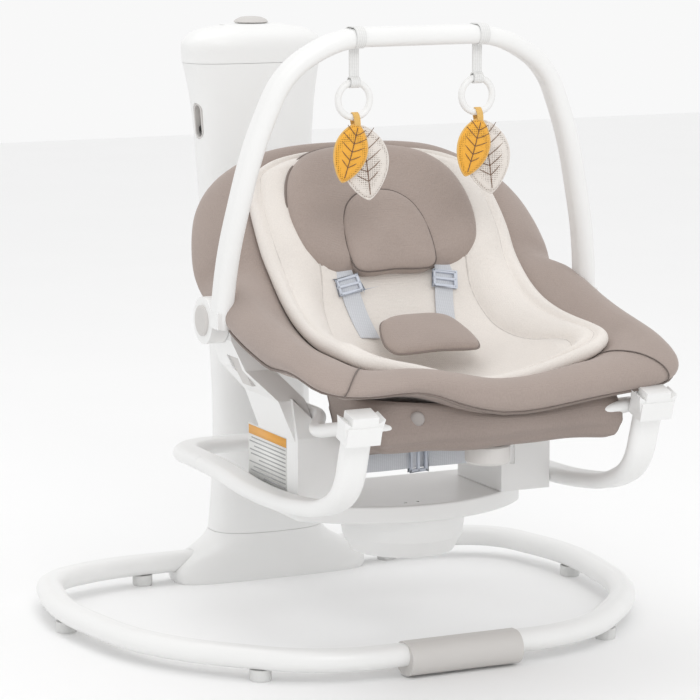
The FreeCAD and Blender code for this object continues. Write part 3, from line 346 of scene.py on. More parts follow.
def make_normals_outward(obj):
    """Join doubled points and turn every face outward."""
    bm = bmesh.new()
    bm.from_mesh(obj.data)
    bmesh.ops.remove_doubles(bm, verts=bm.verts, dist=1e-6)
    bmesh.ops.recalc_face_normals(bm, faces=bm.faces)
    bm.to_mesh(obj.data)
    bm.free()


def skinned(loops):
    """Vertices and quads of a tube of closed loops, each with the same number of points."""
    verts = np.vstack(loops)
    count = len(loops[0])
    faces = []
    for row in range(len(loops) - 1):
        for index in range(count):
            after = (index + 1) % count
            faces.append((row * count + index, row * count + after, (row + 1) * count + after,
                          (row + 1) * count + index))
    return verts, faces


def ladder_cap(verts, faces, start, centre, columns, power):
    """Fill a ring whose points start at index start with rows from its right to its left side.
    centre holds one middle point for each of the ring's HALF + 1 stations."""
    verts = list(verts)
    rows = [[start] * (columns + 1)]
    for station in range(1, HALF):
        right = start + station
        left = start + RING - station
        row = [right]
        for column in range(1, columns):
            across = 1 - 2 * column / columns
            side = verts[right] if across >= 0 else verts[left]
            reach = abs(across)
            point = np.array(centre[station], float)
            rise = reach ** power
            mixed_point = point * (1 - rise) + np.array(side) * rise
            mixed_point[0] = side[0] * reach
            verts.append(mixed_point)
            row.append(len(verts) - 1)
        row.append(left)
        rows.append(row)
    rows.append([start + HALF] * (columns + 1))
    for lower, upper in zip(rows[:-1], rows[1:]):
        for column in range(columns):
            corners = [lower[column], lower[column + 1], upper[column + 1], upper[column]]
            unique = list(dict.fromkeys(corners))
            if len(unique) > 2:
                faces.append(tuple(unique))
    return verts, faces


def tube(name, points, radius, material, closed=False):
    """A round cord through points: piping, a thread, or a dark cord of painted crease shade."""
    curve = bpy.data.curves.new(name, "CURVE")
    curve.dimensions = "3D"
    curve.bevel_depth = radius * MM
    curve.bevel_resolution = 2
    curve.use_fill_caps = True
    spline = curve.splines.new("POLY")
    spline.points.add(len(points) - 1)
    for point, place in zip(spline.points, points):
        point.co = (*(np.array(place) * MM), 1)
    spline.use_cyclic_u = closed
    obj = bpy.data.objects.new(name, curve)
    bpy.context.collection.objects.link(obj)
    curve.materials.append(material)
    graph = bpy.context.evaluated_depsgraph_get()
    mesh = bpy.data.meshes.new_from_object(obj.evaluated_get(graph))
    bpy.data.objects.remove(obj)
    solid = bpy.data.objects.new(name, mesh)
    bpy.context.collection.objects.link(solid)
    for polygon in mesh.polygons:
        polygon.use_smooth = True
    return solid


def ribbon(name, middle, across, wide, thick, material, count=40):
    """A flat strap: middle points, the direction of its width at each, and its thickness."""
    path = smooth_open(middle, count)
    sides = smooth_open(across, count)
    verts = []
    for index, (point, side) in enumerate(zip(path, sides)):
        side = side / np.linalg.norm(side)
        ahead = path[min(index + 1, count - 1)] - path[max(index - 1, 0)]
        up = np.cross(ahead, side)
        up /= max(np.linalg.norm(up), 1e-9)
        for s, u in ((-0.5, -0.5), (0.5, -0.5), (0.5, 0.5), (-0.5, 0.5)):
            verts.append(point + side * wide * s + up * thick * u)
    faces = [(0, 1, 2, 3)]
    for row in range(count - 1):
        for index in range(4):
            after = (index + 1) % 4
            faces.append((row * 4 + index, row * 4 + after, row * 4 + 4 + after, row * 4 + 4 + index))
    last = (count - 1) * 4
    faces.append((last + 3, last + 2, last + 1, last))
    obj = build_mesh(name, verts, faces, material)
    soften(obj, thick * 0.3)
    return obj


def soften(obj, width, segments=2):
    """Round the edges and keep the flats crisp."""
    edge = obj.modifiers.new("edge", "BEVEL")
    edge.width = width * MM
    edge.segments = segments
    edge.limit_method = "ANGLE"
    apply_modifiers(obj)
    for polygon in obj.data.polygons:
        polygon.use_smooth = True
    obj.data.set_sharp_from_angle(angle=math.radians(40))


def rounded_box(name, low, high, radius, material):
    """A box between two corners, with rounded edges when a radius is given."""
    low = np.array(low, float)
    high = np.array(high, float)
    verts = [(x, y, z) for x in (low[0], high[0]) for y in (low[1], high[1]) for z in (low[2], high[2])]
    faces = [(0, 1, 3, 2), (4, 6, 7, 5), (0, 4, 5, 1), (2, 3, 7, 6), (0, 2, 6, 4), (1, 5, 7, 3)]
    obj = build_mesh(name, verts, faces, material)
    if radius:
        soften(obj, radius, 3)
    return obj


def ripple(points, amount, scale, seed):
    """Small soft dents: the same for the same seed."""
    pts = np.array(points, float)
    generator = np.random.default_rng(seed)
    shift = np.zeros(len(pts))
    for _ in range(7):
        way = generator.normal(size=3)
        way /= np.linalg.norm(way)
        phase = generator.uniform(0, 2 * math.pi)
        shift += np.sin(pts @ way * scale * generator.uniform(0.6, 1.5) + phase)
    return shift[:, None] * amount / 4


# ---------------------------------------------------------------- seat shape

# Right-hand half of the pad, from the front middle round to the top of the back:
# outer edge, inner edge (where the cream insert starts), and the middle line beside each.
STATIONS = [
    # outer edge             inner edge             middle of the insert
    ((0, -366, 348), (0, -291, 345), (0, -270, 338)),
    ((70, -370, 350), (60, -295, 351), (0, -258, 335)),
    ((140, -375, 355), (114, -302, 364), (0, -243, 333)),
    ((200, -381, 361), (150, -309, 378), (0, -224, 332)),
    ((231, -364, 367), (168, -296, 388), (0, -203, 332)),
    ((240, -322, 378), (171, -264, 392), (0, -182, 334)),
    ((243, -271, 389), (170, -224, 395), (0, -162, 339)),
    ((244, -220, 399), (167, -184, 401), (0, -142, 349)),
    ((245, -170, 410), (164, -148, 411), (0, -123, 364)),
    ((245, -128, 422), (162, -114, 428), (0, -106, 383)),
    ((243, -82, 436), (161, -84, 451), (0, -90, 405)),
    ((240, -38, 441), (161, -58, 478), (0, -72, 432)),
    ((239, -20, 457), (160, -34, 506), (0, -53, 460)),
    ((234, -2, 481), (157, -12, 530), (0, -34, 488)),
    ((222, 22, 509), (149, 8, 554), (0, -15, 515)),
    ((204, 41, 532), (134, 18, 563), (0, 0, 539)),
    ((176, 57, 553), (108, 28, 573), (0, 13, 557)),
    ((134, 65, 574), (76, 34, 578.5), (0, 24, 569)),
    ((74, 65, 584), (38, 37, 579.5), (0, 32, 576)),
    ((0, 62, 586), (0, 37, 579.5), (0, 37, 579.5)),
]


def seat_rings():
    """Evenly sampled outer and inner edges, the middle line, and local directions."""
    outer_raw = smooth_open([s[0] for s in STATIONS], HALF + 1)
    inner_raw = smooth_open([s[1] for s in STATIONS], HALF + 1)
    middle = smooth_open([s[2] for s in STATIONS], HALF + 1)
    outer_raw[[0, -1], 0] = 0
    inner_raw[[0, -1], 0] = 0
    middle[:, 0] = 0
    outer = mirrored_ring(outer_raw)
    inner = mirrored_ring(inner_raw)
    return outer, inner, middle


def ring_frames(outer, inner):
    """Outward and upward unit directions at every point of the rim."""
    out = outer - inner
    out /= np.linalg.norm(out, axis=1)[:, None]
    ahead = np.roll(outer, -1, axis=0) - np.roll(outer, 1, axis=0)
    up = np.cross(out, ahead)
    up /= np.linalg.norm(up, axis=1)[:, None]
    if up[0][2] < 0:
        up = -up
    return out, up


OUTER, INNER, MIDDLE = seat_rings()
OUT, UP = ring_frames(OUTER, INNER)
MIDDLE_UP = np.stack([np.zeros(HALF + 1),
                      -np.gradient(MIDDLE[:, 2]),
                      np.gradient(MIDDLE[:, 1])], axis=1)
MIDDLE_UP /= np.linalg.norm(MIDDLE_UP, axis=1)[:, None]


def rim_loop(inward, lift):
    """A loop between the rim's outer edge (0) and inner edge (1), lifted along its normal."""
    base = OUTER * (1 - inward) + INNER * inward
    return base + UP * lift


def corner_dip(amount, station, width=2.2):
    """A dent across the rim at one station and its mirror image, where panels meet."""
    index = np.arange(RING)
    dip = np.zeros(RING)
    for corner in (station, RING - station):
        away = np.minimum(abs(index - corner), RING - abs(index - corner))
        dip += np.exp(-(away / width) ** 2)
    return -amount * dip[:, None] * UP


CORNER = 8          # ring index of the sewn corner of the front roll
WING_END = 27       # ring index where the side wing of the seat meets the back


def sagged(loop):
    """The soft front of the seat isn't quite even: it dips right of the middle, as worn fabric does."""
    loop = np.array(loop, float)
    front = np.clip((-235 - loop[:, 1]) / 45, 0, 1)
    near = 11 * np.exp(-((loop[:, 0] + 85) / 62) ** 2)
    dip = -4 * np.exp(-((loop[:, 0] - 35) / 60) ** 2)
    loop[:, 2] += front * (near + dip)
    return loop


def smooth_share(value, low, high):
    """0 below low, 1 above high, and a smooth rise between them."""
    share = np.clip((value - low) / (high - low), 0, 1)
    return share * share * (3 - 2 * share)


def wing_share():
    """1 along the side wings of the seat, 0 at the front roll and on the back."""
    index = np.arange(RING)
    station = np.minimum(index, RING - index)
    return (smooth_share(station, 8, 14) * (1 - smooth_share(station, 21, 27)))[:, None]


def tucked(loop, share):
    """Lift the underside of the roll at the seat's front left, where the sling pulls it up."""
    loop = np.array(loop, float)
    near = smooth_share(-loop[:, 0], 40, 120) * smooth_share(-loop[:, 1], 230, 310)
    middle = np.exp(-((loop[:, 0] + 5) / 60) ** 2) * smooth_share(-loop[:, 1], 250, 320)
    loop[:, 2] += share * (15 * near - 3 * middle)
    return loop


def make_outer_pad():
    """The thick taupe pad: a padded rim round a dished middle, in one closed form.
    Each rim row is a loop, then how far dents, the wing's crest and the tuck below reach it."""
    wing = wing_share()
    rim = [
        (OUTER - OUT * 46 - UP * 30, 0.0, 0, 0.8), (OUTER - OUT * 24 - UP * 27, 0.0, 0, 1.0),
        (OUTER - OUT * 8 - UP * 18.5, 0.0, 0, 1.0), (OUTER - OUT * 1.5 - UP * 10, 0.6, 0, 0.75),
        (OUTER, 1.0, 0, 0.4), (rim_loop(0.06, 7.5), 1.0, 1, 0.1), (rim_loop(0.2, 13.5), 1.0, 4, 0),
        (rim_loop(0.42, 16.0), 1.0, 5, 0), (rim_loop(0.66, 13.0), 1.0, -6, 0),
        (rim_loop(0.86, 5.0), 0.6, -4, 0), (rim_loop(1.0, -6.0), 0.0, 0, 0),
        (rim_loop(1.12, -12.0), 0.0, 0, 0),
    ]
    loops = []
    for loop, weight, crest, tuck in rim:
        loop = loop + (corner_dip(4.5, CORNER) + corner_dip(7.0, WING_END, 1.6)) * weight
        loop = loop + UP * (ripple(loop, 1.0, 0.03, 5) * weight + crest * wing)
        loops.append(tucked(sagged(loop), tuck))
    verts, faces = skinned(loops)
    last = RING * (len(loops) - 1)
    top_middle = MIDDLE - MIDDLE_UP * 14
    bottom_middle = MIDDLE - MIDDLE_UP * 34
    verts, faces = ladder_cap(verts, faces, last, top_middle, 10, 2.2)
    verts, faces = ladder_cap(verts, faces, 0, bottom_middle, 10, 2.2)
    pad = build_mesh("outer_pad", verts, faces, SLOT_MATERIALS["taupe_fabric"], 1)
    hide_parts("seat_pad", "back_pad")
    edge = tube("outer_pad_piping", loops[2] - UP * 0.5, 1.7, PIPING, closed=True)
    seam_shades = []
    # Dark cords down the corner dents: painted shade of the sewn corners.
    for word, corner in (("right", CORNER), ("left", RING - CORNER)):
        line = [loop[corner] + UP[corner] * 0.4 for loop in loops[2:11]]
        seam_shade = tube("corner_seam_shade_" + word, smooth_open(line, 30), 0.8, SEAM_SHADE)
        seam_shades.append(seam_shade)
    return [pad, edge] + seam_shades


def band_depth():
    """How far the band of the insert reaches inward at each ring point: narrow at the front."""
    index = np.arange(RING)
    station = np.minimum(index, RING - index)
    grow = np.clip((station - 5) / 9, 0, 1)
    grow = grow * grow * (3 - 2 * grow)
    return (24 + 34 * grow)[:, None]


def make_insert():
    """The cream insert: an outer roll, a sewn groove, a broad band and a sunk middle."""
    out = OUT
    band = band_depth()
    falling = np.clip((band - 24) / 34, 0, 1)
    rim = [
        INNER - out * 16 - UP * 9, INNER - out * 1 - UP * 7, INNER + out * 5 + UP * 0.5,
        INNER + out * 4.5 + UP * 8, INNER - out * 1.5 + UP * 12.5, INNER - out * 8 + UP * 12,
        INNER - out * 12.5 + UP * 7, INNER - out * 14.5 + UP * 4, INNER - out * 17 + UP * 7,
        INNER - out * (14.5 + (band - 14.5) * 0.5) + UP * (9 - 5 * falling),
        INNER - out * (band - 4) + UP * (8 - 18 * falling),
        INNER - out * band + UP * (4 - 21 * falling),
        INNER - out * (band + 2) - UP * (2 + 20 * falling),
        INNER - out * (band + 6) - UP * (1 + 21 * falling),
    ]
    loops = [sagged(loop + UP * ripple(loop, 0.7, 0.05, 9)) for loop in rim]
    verts, faces = skinned(loops)
    last = RING * (len(loops) - 1)
    verts, faces = ladder_cap(verts, faces, last, MIDDLE + MIDDLE_UP * 4, 14, 2.3)
    verts, faces = ladder_cap(verts, faces, 0, MIDDLE - MIDDLE_UP * 12, 14, 2.3)
    pad = build_mesh("cream_insert", verts, faces, SLOT_MATERIALS["cream_fabric"], 1)
    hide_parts("seat_insert", "back_insert")
    pieces = [pad]
    # Darker cream cords at the groove's bottom and the sunk middle's edge: painted shade.
    for word, loop in (("outer", loops[7] + UP * 0.2), ("inner", loops[12] + UP * 0.6)):
        groove = tube("insert_seam_shade_" + word, loop, 0.9, CREAM_SEAM_SHADE, closed=True)
        pieces.append(groove)
    return pieces


# ---------------------------------------------------------------- on the back

BACK_ANGLE = math.radians(56)
BACK_UP = np.array([0, math.cos(BACK_ANGLE), math.sin(BACK_ANGLE)])
BACK_OUT = np.array([0, -math.sin(BACK_ANGLE), math.cos(BACK_ANGLE)])
BACK_START = np.array([0, -70.0, 400.0])
SIDEWAYS = np.array([1.0, 0, 0])
TO_FRONT_LEFT = np.array([-0.4225, -0.8919, 0.1612])


def back_point(x, rise, out):
    """A point beside, up and out from the foot of the backrest."""
    return BACK_START + SIDEWAYS * x + BACK_UP * rise + BACK_OUT * out


def plan_ring(half):
    """A closed ring in the plane of the back from right-hand (x, rise) points."""
    points = evened([(x, rise, 0) for x, rise in half])
    points[[0, -1], 0] = 0
    return mirrored_ring(points)


def plan_cushion(name, ring, profile, material, bend=0.0, level=0.0):
    """A cushion on the back: profile lists (inset, out) loops from its back to its crown."""
    middle = np.array([0, ring[:, 1].mean(), 0])
    first, last = profile[0], profile[-1]
    rows = [(first[0], share, first[1]) for share in (0.1, 0.5, 0.85)]
    rows += [(inset, 1.0, out) for inset, out in profile]
    rows += [(last[0], share, last[1] + 2.5 * (1 - share)) for share in (0.8, 0.55, 0.3, 0.08)]
    loops = []
    for inset, share, out in rows:
        reach = np.linalg.norm(ring - middle, axis=1)[:, None]
        flat = middle + (ring - middle) * (1 - inset / reach) * share
        curl = bend * (flat[:, 0] / 120) ** 2
        loops.append(np.array([back_point(x, rise, level + out + lift)
                               for (x, rise, _), lift in zip(flat, curl)]))
    piece = build_mesh(name, *closed_form(loops), material, 1)
    return piece, loops[3:]


def closed_form(loops):
    """Skin a row of loops and close both ends."""
    verts, faces = skinned(loops)
    count = len(loops[0])
    last = count * (len(loops) - 1)
    return verts, faces + [tuple(range(count)), tuple(range(last + count - 1, last - 1, -1))]


def make_pillow():
    """The head pillow: a wide bean with a D-shaped cushion sewn on its middle."""
    outline = [(0, 43), (46, 41), (90, 45), (115, 65), (123, 100), (120, 140), (107, 175), (82, 201),
               (46, 215), (0, 219)]
    ring = plan_ring(outline)
    profile = [(14, 0), (4, 2), (0, 8), (1.5, 15), (7, 21), (16, 25.5), (28, 27), (42, 26)]
    pillow, loops = plan_cushion("head_pillow_soft", ring, profile, SLOT_MATERIALS["taupe_fabric"], 20, 14)
    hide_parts("head_pillow")
    edge = tube("pillow_piping", loops[2], 1.7, PIPING, closed=True)
    inner = [(0, 39), (44, 38), (53, 43), (57, 58), (57, 84), (53, 108), (42, 130), (23, 144), (0, 148)]
    ring = plan_ring(inner)
    profile = [(10, -20), (2, -18), (0, -4), (0, 3), (2, 6.5), (8, 9.5), (16, 11), (26, 12)]
    cushion, loops = plan_cushion("pillow_middle", ring, profile, SLOT_MATERIALS["taupe_fabric"], 6, 40)
    # A dark cord where the D cushion meets the pillow: painted shade of the sewn join.
    line = tube("pillow_middle_seam_shade", loops[3], 1.0, SEAM_SHADE, closed=True)
    return [pillow, edge, cushion, line]


def make_harness_pad():
    """The padded cover over the buckle, tilted towards the baby."""
    outline = [(0, -38), (38, -38), (54, -34), (60, -18), (55, 10), (46, 30), (31, 37), (0, 38)]
    ring = plan_ring(outline)
    tilt = math.radians(24)
    along = np.array([0, math.cos(tilt), math.sin(tilt)])
    out = np.array([0, -math.sin(tilt), math.cos(tilt)])
    centre = np.array([0, -163.0, 385.0])
    middle = ring.mean(axis=0)
    loops = []
    for share, height in [(0.06, -1), (0.4, -1), (0.82, 0), (0.97, 1.5), (1.0, 5), (0.98, 8.5), (0.91, 11.5),
                          (0.79, 13.5), (0.6, 14.8), (0.36, 15.5), (0.12, 15.8)]:
        flat = middle + (ring - middle) * share
        loops.append(np.array([centre + SIDEWAYS * x + along * y + out * (height - 5 * (x / 65) ** 2)
                               for x, y, _ in flat]))
    pad = build_mesh("harness_pad", *closed_form(loops), SLOT_MATERIALS["taupe_fabric"], 1)
    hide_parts("crotch_pad")
    edge = tube("harness_pad_piping", loops[4], 1.3, PIPING, closed=True)
    return [pad, edge]


def surface_of(obj):
    """A search tree over an object's faces, in metres."""
    return BVHTree.FromPolygons([v.co for v in obj.data.vertices], [p.vertices for p in obj.data.polygons])


def laid_on(tree, points, direction, above, reach=80):
    """Points moved along a direction until they lie a little above a surface."""
    direction = np.array(direction, float)
    rested = []
    for point in points:
        start = (np.array(point) + direction * reach) * MM
        hit = tree.ray_cast(Vector(start), Vector(-direction))[0]
        rested.append(np.array(point) if hit is None else np.array(hit) / MM + direction * above)
    return np.array(rested)


def make_shoulder_harness(cushion):
    """Two tapes from under the pillow to the harness pad, each with a slide adjuster."""
    tree = surface_of(cushion)
    pieces = []
    for side, word in ((-1, "left"), (1, "right")):
        high = back_point(side * 70, 58, 16)
        low = np.array([side * 52, -143.0, 396.0])
        path = [high + (low - high) * share for share in np.linspace(0, 1, 12)]
        path = laid_on(tree, path, BACK_OUT, 2.2)
        across = [SIDEWAYS + BACK_UP * 0.1 * side] * len(path)
        tape = ribbon("shoulder_tape_" + word, path, across, 25, 1.6, SLOT_MATERIALS["webbing"])
        ahead = path[2] - path[5]
        ahead /= np.linalg.norm(ahead)
        out = np.cross(SIDEWAYS, ahead)
        out /= np.linalg.norm(out)
        slider = slide_adjuster("shoulder_slider_" + word, (path[3] + path[4]) / 2 + out * 2.2,
                                np.cross(ahead, out), ahead, out)
        pieces += [tape, slider]
    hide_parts("shoulder_straps")
    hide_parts("strap_sliders")
    return pieces


def frame_ring(name, centre, side, up, out, wide, high, deep, bar, material):
    """A rectangular loop of moulded bar with a cross bar, such as a tri-glide."""
    verts = []
    faces = []

    def add_bar(s0, s1, u0, u1):
        base = len(verts)
        for s in (s0, s1):
            for u in (u0, u1):
                for o in (-deep / 2, deep / 2):
                    verts.append(centre + side * s + up * u + out * o)
        for face in ((0, 1, 3, 2), (4, 6, 7, 5), (0, 4, 5, 1), (2, 3, 7, 6), (0, 2, 6, 4), (1, 5, 7, 3)):
            faces.append(tuple(base + corner for corner in face))

    add_bar(-wide / 2, wide / 2, high / 2 - bar, high / 2)
    add_bar(-wide / 2, wide / 2, -high / 2, -high / 2 + bar)
    add_bar(-wide / 2, wide / 2, -bar / 2, bar / 2)
    add_bar(-wide / 2, -wide / 2 + bar, -high / 2, high / 2)
    add_bar(wide / 2 - bar, wide / 2, -high / 2, high / 2)
    obj = build_mesh(name, verts, faces, material)
    soften(obj, bar * 0.28, 2)
    return obj


def slide_adjuster(name, centre, side, up, out):
    """The small moulded adjuster on a harness tape."""
    return frame_ring(name, centre, side, up, out, 31, 21, 4.2, 3.2, SLOT_MATERIALS["buckle_plastic"])


# ---------------------------------------------------------------- under the seat

def sling_column(high, low):
    """One line of the sling from the pad to the belt; at the front it wraps under the seat tube."""
    wrap = float(smooth_share(-high[1], 285, 335))
    belly = high * 0.55 + low * 0.45 + (0, 6.0, -14.0 - 8.0 * wrap)
    front = np.array([high[0] * 0.98, -362.0, 304.0])
    under = np.array([high[0] * 0.95, -353.0, 290.5])
    return [high, (high * 0.65 + belly * 0.35) * (1 - wrap) + front * wrap,
            (high * 0.4 + belly * 0.6) * (1 - wrap) + under * wrap, belly, low]


def make_sling():
    """The cloth under the seat, its bound edges, a dark hem line of painted fold shade and a press stud."""
    top = [(-152, -214, 341), (-166, -262, 345), (-166, -316, 349), (-140, -342, 347), (-70, -344, 339),
           (0, -344, 334), (70, -344, 335), (140, -342, 340), (166, -316, 343), (166, -262, 340),
           (152, -214, 338)]
    bottom = [(-99, -160, 256), (-98, -166, 255), (-94, -178, 253), (-70, -176, 252), (-35, -172, 252),
              (0, -170, 252), (35, -172, 252), (70, -176, 252), (94, -178, 253), (98, -166, 255),
              (99, -160, 256)]
    count = 72
    rows = 26
    columns = [smooth_open(sling_column(high, low), rows + 1)
               for high, low in zip(smooth_open(top, count), smooth_open(bottom, count))]
    verts = []
    for row in range(rows + 1):
        fall = row / rows
        line = np.array([column[row] for column in columns])
        belly = math.sin(math.pi * fall)
        folds = np.sin(np.linspace(0, 21, count) + 2.5 * fall) * 1.8 * belly
        folds += np.sin(np.linspace(0, 47, count) + 5 * fall) * 0.8 * belly
        folds += np.sin(fall * 17 + np.linspace(0, 3, count)) * 2.0 * belly
        line[:, 1] += folds
        line[:, 2] += folds * 0.6
        verts += list(line)
    faces = []
    for row in range(rows):
        for index in range(count - 1):
            base = row * count + index
            faces.append((base, base + 1, base + count + 1, base + count))
    cloth = build_mesh("seat_sling_cloth", verts, faces, SLING)
    thicken(cloth, 1.6)
    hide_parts("seat_sling")
    pieces = [cloth]
    for word, index in (("left", 0), ("right", count - 1)):
        line = [verts[row * count + index] for row in range(rows + 1)]
        binding = tube("sling_binding_" + word, line, 2.0, PIPING)
        pieces.append(binding)
    # A dark cord along the hem: painted shade of the hem fold.
    hem = [np.array(verts[21 * count + index]) + (0, -1.2, 0.4) for index in range(count)]
    seam_shade = tube("sling_hem_seam_shade", hem, 0.8, SEAM_SHADE)
    pieces.append(seam_shade)
    place = laid_on(surface_of(cloth), [(-62, -260, 309)], TO_FRONT_LEFT, 0, reach=220)[0]
    pieces.append(make_snap("sling_snap", place, TO_FRONT_LEFT))
    return pieces


def make_snap(name, place, out):
    """A moulded press stud: a low round dome."""
    side = np.cross(out, (0, 0, 1.0))
    side /= np.linalg.norm(side)
    up = np.cross(side, out)
    turns = np.linspace(0, 2 * math.pi, 25)[:-1]
    loops = [np.array([place + (side * math.cos(t) + up * math.sin(t)) * wide + out * height for t in turns])
             for wide, height in ((8.5, -3), (8.5, 1.5), (7.4, 3.2), (4.5, 4.2), (1.5, 4.5))]
    snap = build_mesh(name, *closed_form(loops), SNAP)
    return snap


def thicken(obj, thick):
    """Give a sheet of faces its cloth thickness."""
    solid = obj.modifiers.new("thick", "SOLIDIFY")
    solid.thickness = thick * MM
    solid.offset = 0
    apply_modifiers(obj)
    for polygon in obj.data.polygons:
        polygon.use_smooth = True


def make_belt():
    """The belt between the brackets: two lengths of tape and a tri-glide."""
    belt_y = -158.5
    belt_z = 239.0
    overlap = 2.6
    pieces = []
    for word, x0, x1 in (("left", -103, -6), ("right", -14, 103)):
        depth = belt_y if word == "left" else belt_y + overlap
        middle = [(x0, depth + 3, belt_z + 1), (x0 * 0.9 + x1 * 0.1, depth + 0.5, belt_z + 0.5),
                  ((x0 + x1) / 2, depth, belt_z), (x0 * 0.15 + x1 * 0.85, depth, belt_z + 0.5),
                  (x1, depth, belt_z + 1)]
        tape = ribbon("belt_tape_" + word, middle, [(0, 0, 1)] * 5, 26, 1.8, SLOT_MATERIALS["webbing"])
        pieces.append(tape)
    buckle = frame_ring("belt_buckle", np.array([-8.0, belt_y - 1.5, belt_z + 0.5]), np.array([0, 0, 1.0]),
                        SIDEWAYS, np.array([0, -1.0, 0]), 34, 24, 5, 3.6, SLOT_MATERIALS["buckle_plastic"])
    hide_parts("retaining_strap")
    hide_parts("strap_buckle")
    return pieces + [buckle]


def make_info_sticker():
    """A plain information sticker on the left bracket: a band and bars, no lettering."""
    x = -168.0                      # outer face of the bracket
    front, rear = -134.0, -22.0
    first_bar, bar_pitch, bar_height = 254.5, 5, 1.5
    pieces = [rounded_box("info_sticker", (x - 0.4, front, 206), (x + 0.2, rear, 272), 0, STICKER),
              rounded_box("info_band", (x - 0.6, front + 1, 259), (x - 0.3, rear - 1, 270), 0, STICKER_BAND)]
    for index, wide in enumerate((100, 106, 92, 105, 102, 78, 106, 94, 103, 64)):
        z = first_bar - index * bar_pitch
        low = (x - 0.55, front + 3, z)
        high = (x - 0.3, front + 3 + wide, z + bar_height)
        pieces.append(rounded_box("info_bar_%d" % index, low, high, 0, STICKER_BAR))
    return pieces


# ---------------------------------------------------------------- toys

def leaf_half(wide, share):
    """Half the width of a leaf at a share of its length."""
    return wide / 2 * math.sin(math.pi * share ** 0.92) ** 0.72


def leaf_mesh(name, tip, base, side, out, wide, thick, material):
    """A stuffed leaf between its base and its tip: a pointed, crowned form."""
    along = tip - base
    length = np.linalg.norm(along)
    along = along / length
    rows = 22
    around = 20
    verts = [base]
    for row in range(1, rows):
        s = row / rows
        half = leaf_half(wide, s)
        deep = thick / 2 * min(1.0, 2.6 * math.sin(math.pi * s) ** 0.6)
        bow = 2.0 * math.sin(math.pi * s)
        for step in range(around):
            turn = 2 * math.pi * step / around
            cos_t = math.cos(turn)
            sin_t = math.sin(turn)
            height = deep * math.copysign(abs(sin_t) ** 0.8, sin_t) + bow
            verts.append(base + along * length * s + side * half * cos_t + out * height)
    verts.append(tip)
    faces = []
    for step in range(around):
        after = (step + 1) % around
        faces.append((0, 1 + after, 1 + step))
        for row in range(rows - 2):
            start = 1 + row * around
            faces.append((start + step, start + after, start + around + after, start + around + step))
        last = 1 + (rows - 2) * around
        faces.append((last + step, last + after, len(verts) - 1))
    return build_mesh(name, verts, faces, material), along, length


def leaf_edge(base, along, length, side, wide, out, count=60):
    """Points along one edge of a leaf, from its base to its tip."""
    points = []
    for step in range(count + 1):
        s = step / count
        half = leaf_half(wide, min(max(s, 1e-4), 1 - 1e-4))
        points.append(base + along * length * s + side * half + out * 2.0 * math.sin(math.pi * s))
    return points


def make_leaf(name, base, angle, lean, length, wide, material, edge_material):
    """One leaf hanging from base, turned by angle in the plane facing the front."""
    face = 3.6
    down = np.array([math.sin(angle), lean, -math.cos(angle)])
    down /= np.linalg.norm(down)
    out = np.array([0, -1.0, 0])
    side = np.cross(down, out)
    side /= np.linalg.norm(side)
    out = np.cross(side, down)
    body, along, long = leaf_mesh(name, base + down * length, base, side, out, wide, 7, material)
    pieces = [body]
    for word, sign in (("a", 1), ("b", -1)):
        line = leaf_edge(base, along, long, side * sign, wide, out)
        pieces.append(tube(name + "_edge_" + word, line, 1.25, edge_material))
    rib = [base + along * long * s + out * (face + 2.2 * math.sin(math.pi * s) + 0.2)
           for s in np.linspace(0.06, 0.93, 24)]
    pieces.append(tube(name + "_rib", rib, 0.5, BROWN_THREAD))
    for index, s in enumerate((0.2, 0.34, 0.48, 0.62, 0.75)):
        reach = leaf_half(wide, s) * 0.78
        for sign in (-1, 1):
            start = base + along * long * s + out * (face + 2.2 * math.sin(math.pi * s))
            end_s = s - 0.14
            end = base + along * long * end_s + side * sign * reach
            end = end + out * (2.6 * math.sin(math.pi * end_s) + 1.2)
            bend = (start + end) / 2 + along * 0.4 + out * 1.1
            line = smooth_open([start, bend, end], 12)
            word = "%s_vein_%d_%s" % (name, index, "ab"[sign > 0])
            pieces.append(tube(word, line, 0.42, BROWN_THREAD))
    return pieces


def make_toy(word):
    """A toy under one ring: a yellow leaf in front of a cream one, on a yellow loop."""
    ring_low, ring_high = (np.array(corner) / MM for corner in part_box("toy_ring_" + word))
    x = (ring_low[0] + ring_high[0]) / 2
    y = (ring_low[1] + ring_high[1]) / 2
    low = ring_low[2]
    pieces = make_leaf("cream_leaf_" + word, np.array([x + 10, y + 5.5, low - 7]), 0.14, -0.02, 88, 60,
                       CREAM_MESH, SLOT_MATERIALS["cream_fabric"])
    pieces += make_leaf("yellow_leaf_" + word, np.array([x + 3, y - 3.0, low - 4]), -0.30, -0.03, 70, 42,
                        SLOT_MATERIALS["leaf_fabric"], YELLOW_TAPE)
    loop = [(x + 3, y - 2.6, low - 12), (x + 2, y - 5.8, low - 2), (x + 1, y - 5.4, low + 5),
            (x + 1, y, low + 9.4), (x + 1, y + 5.2, low + 5), (x + 2, y + 5.4, low - 2),
            (x + 3, y + 3, low - 12)]
    pieces.append(ribbon("leaf_loop_" + word, loop, [(1, 0, 0)] * 7, 8, 1.2, YELLOW_TAPE))
    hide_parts("toy_leaves_" + word)
    return pieces


# ---------------------------------------------------------------- stage

def make_stage():
    """A pale floor and even white surroundings."""
    floor = build_mesh("floor", [(-6, -6, 0), (6, -6, 0), (6, 6, 0), (-6, 6, 0)], [(0, 1, 2, 3)],
                       floor_material(), metres=1)
    world = bpy.data.worlds.new("studio")
    bpy.context.scene.world = world
    world.use_nodes = True
    background = world.node_tree.nodes["Background"]
    background.inputs["Color"].default_value = (1, 1, 1, 1)
    background.inputs["Strength"].default_value = 0.94


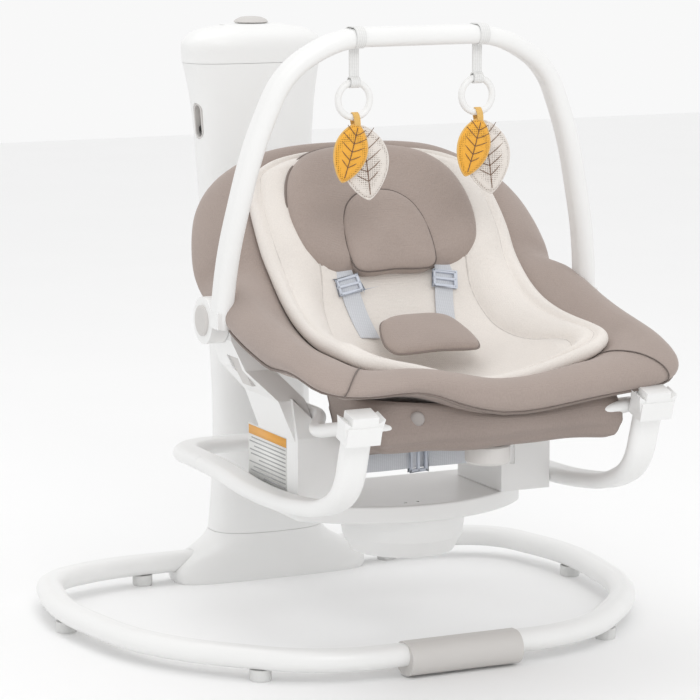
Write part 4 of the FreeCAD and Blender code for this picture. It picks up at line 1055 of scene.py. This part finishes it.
def floor_material():
    """A matt floor with a faint change of tone."""
    material, tree, bsdf, where = new_material("pale_floor", (0.93, 0.93, 0.93), 0.75)
    tone = noise(tree, where, 3.0)
    tree.links.new(ramp(tree, tone, (0.92, 0.92, 0.92), (0.94, 0.94, 0.94)), bsdf.inputs["Base Color"])
    return material


def area_light(name, place, target, wide, power):
    """A square lamp at a place, turned to a target."""
    light = bpy.data.lights.new(name, "AREA")
    light.shape = "RECTANGLE"
    light.size = wide
    light.size_y = wide
    light.energy = power
    obj = bpy.data.objects.new(name, light)
    bpy.context.collection.objects.link(obj)
    obj.location = place
    obj.rotation_euler = (Vector(target) - Vector(place)).to_track_quat("-Z", "Y").to_euler()


def make_camera():
    """A long lens from the front left, slightly above the seat."""
    turn = math.radians(-25.35)
    rise = math.radians(9.28)
    distance = 4.0
    focal_share = 4.6057143         # focal length over the picture's width
    target = Vector((-0.008, 0.030, 0.341))
    back = Vector((math.sin(turn) * math.cos(rise), -math.cos(turn) * math.cos(rise), math.sin(rise)))
    data = bpy.data.cameras.new("camera")
    data.sensor_width = 36
    data.lens = focal_share * data.sensor_width
    camera = bpy.data.objects.new("camera", data)
    bpy.context.collection.objects.link(camera)
    camera.location = target + back * distance
    camera.rotation_euler = (-back).to_track_quat("-Z", "Y").to_euler()
    bpy.context.scene.camera = camera


make_camera()
make_stage()
middle = (0, 0, 0.35)
area_light("key", (-0.6, -2.6, 2.4), middle, 1.2, 16)
area_light("top", (-0.5, 0.6, 3.0), middle, 1.6, 10)
view = bpy.context.scene.view_settings
view.view_transform = "Standard"
view.exposure = 0.0

# ---------------------------------------------------------------- put it together

insert_pieces = make_insert()
for piece in make_outer_pad() + insert_pieces:
    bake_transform(piece)
for piece in make_pillow():
    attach(piece, "backrest")
for piece in make_harness_pad() + make_sling() + make_belt() + make_info_sticker():
    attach(piece, "rocker")
for piece in make_shoulder_harness(insert_pieces[0]):
    if "tape" in piece.name:
        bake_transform(piece)
    else:
        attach(piece, "backrest")
for word in ("left", "right"):
    for piece in make_toy(word):
        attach(piece, "toy_" + word)
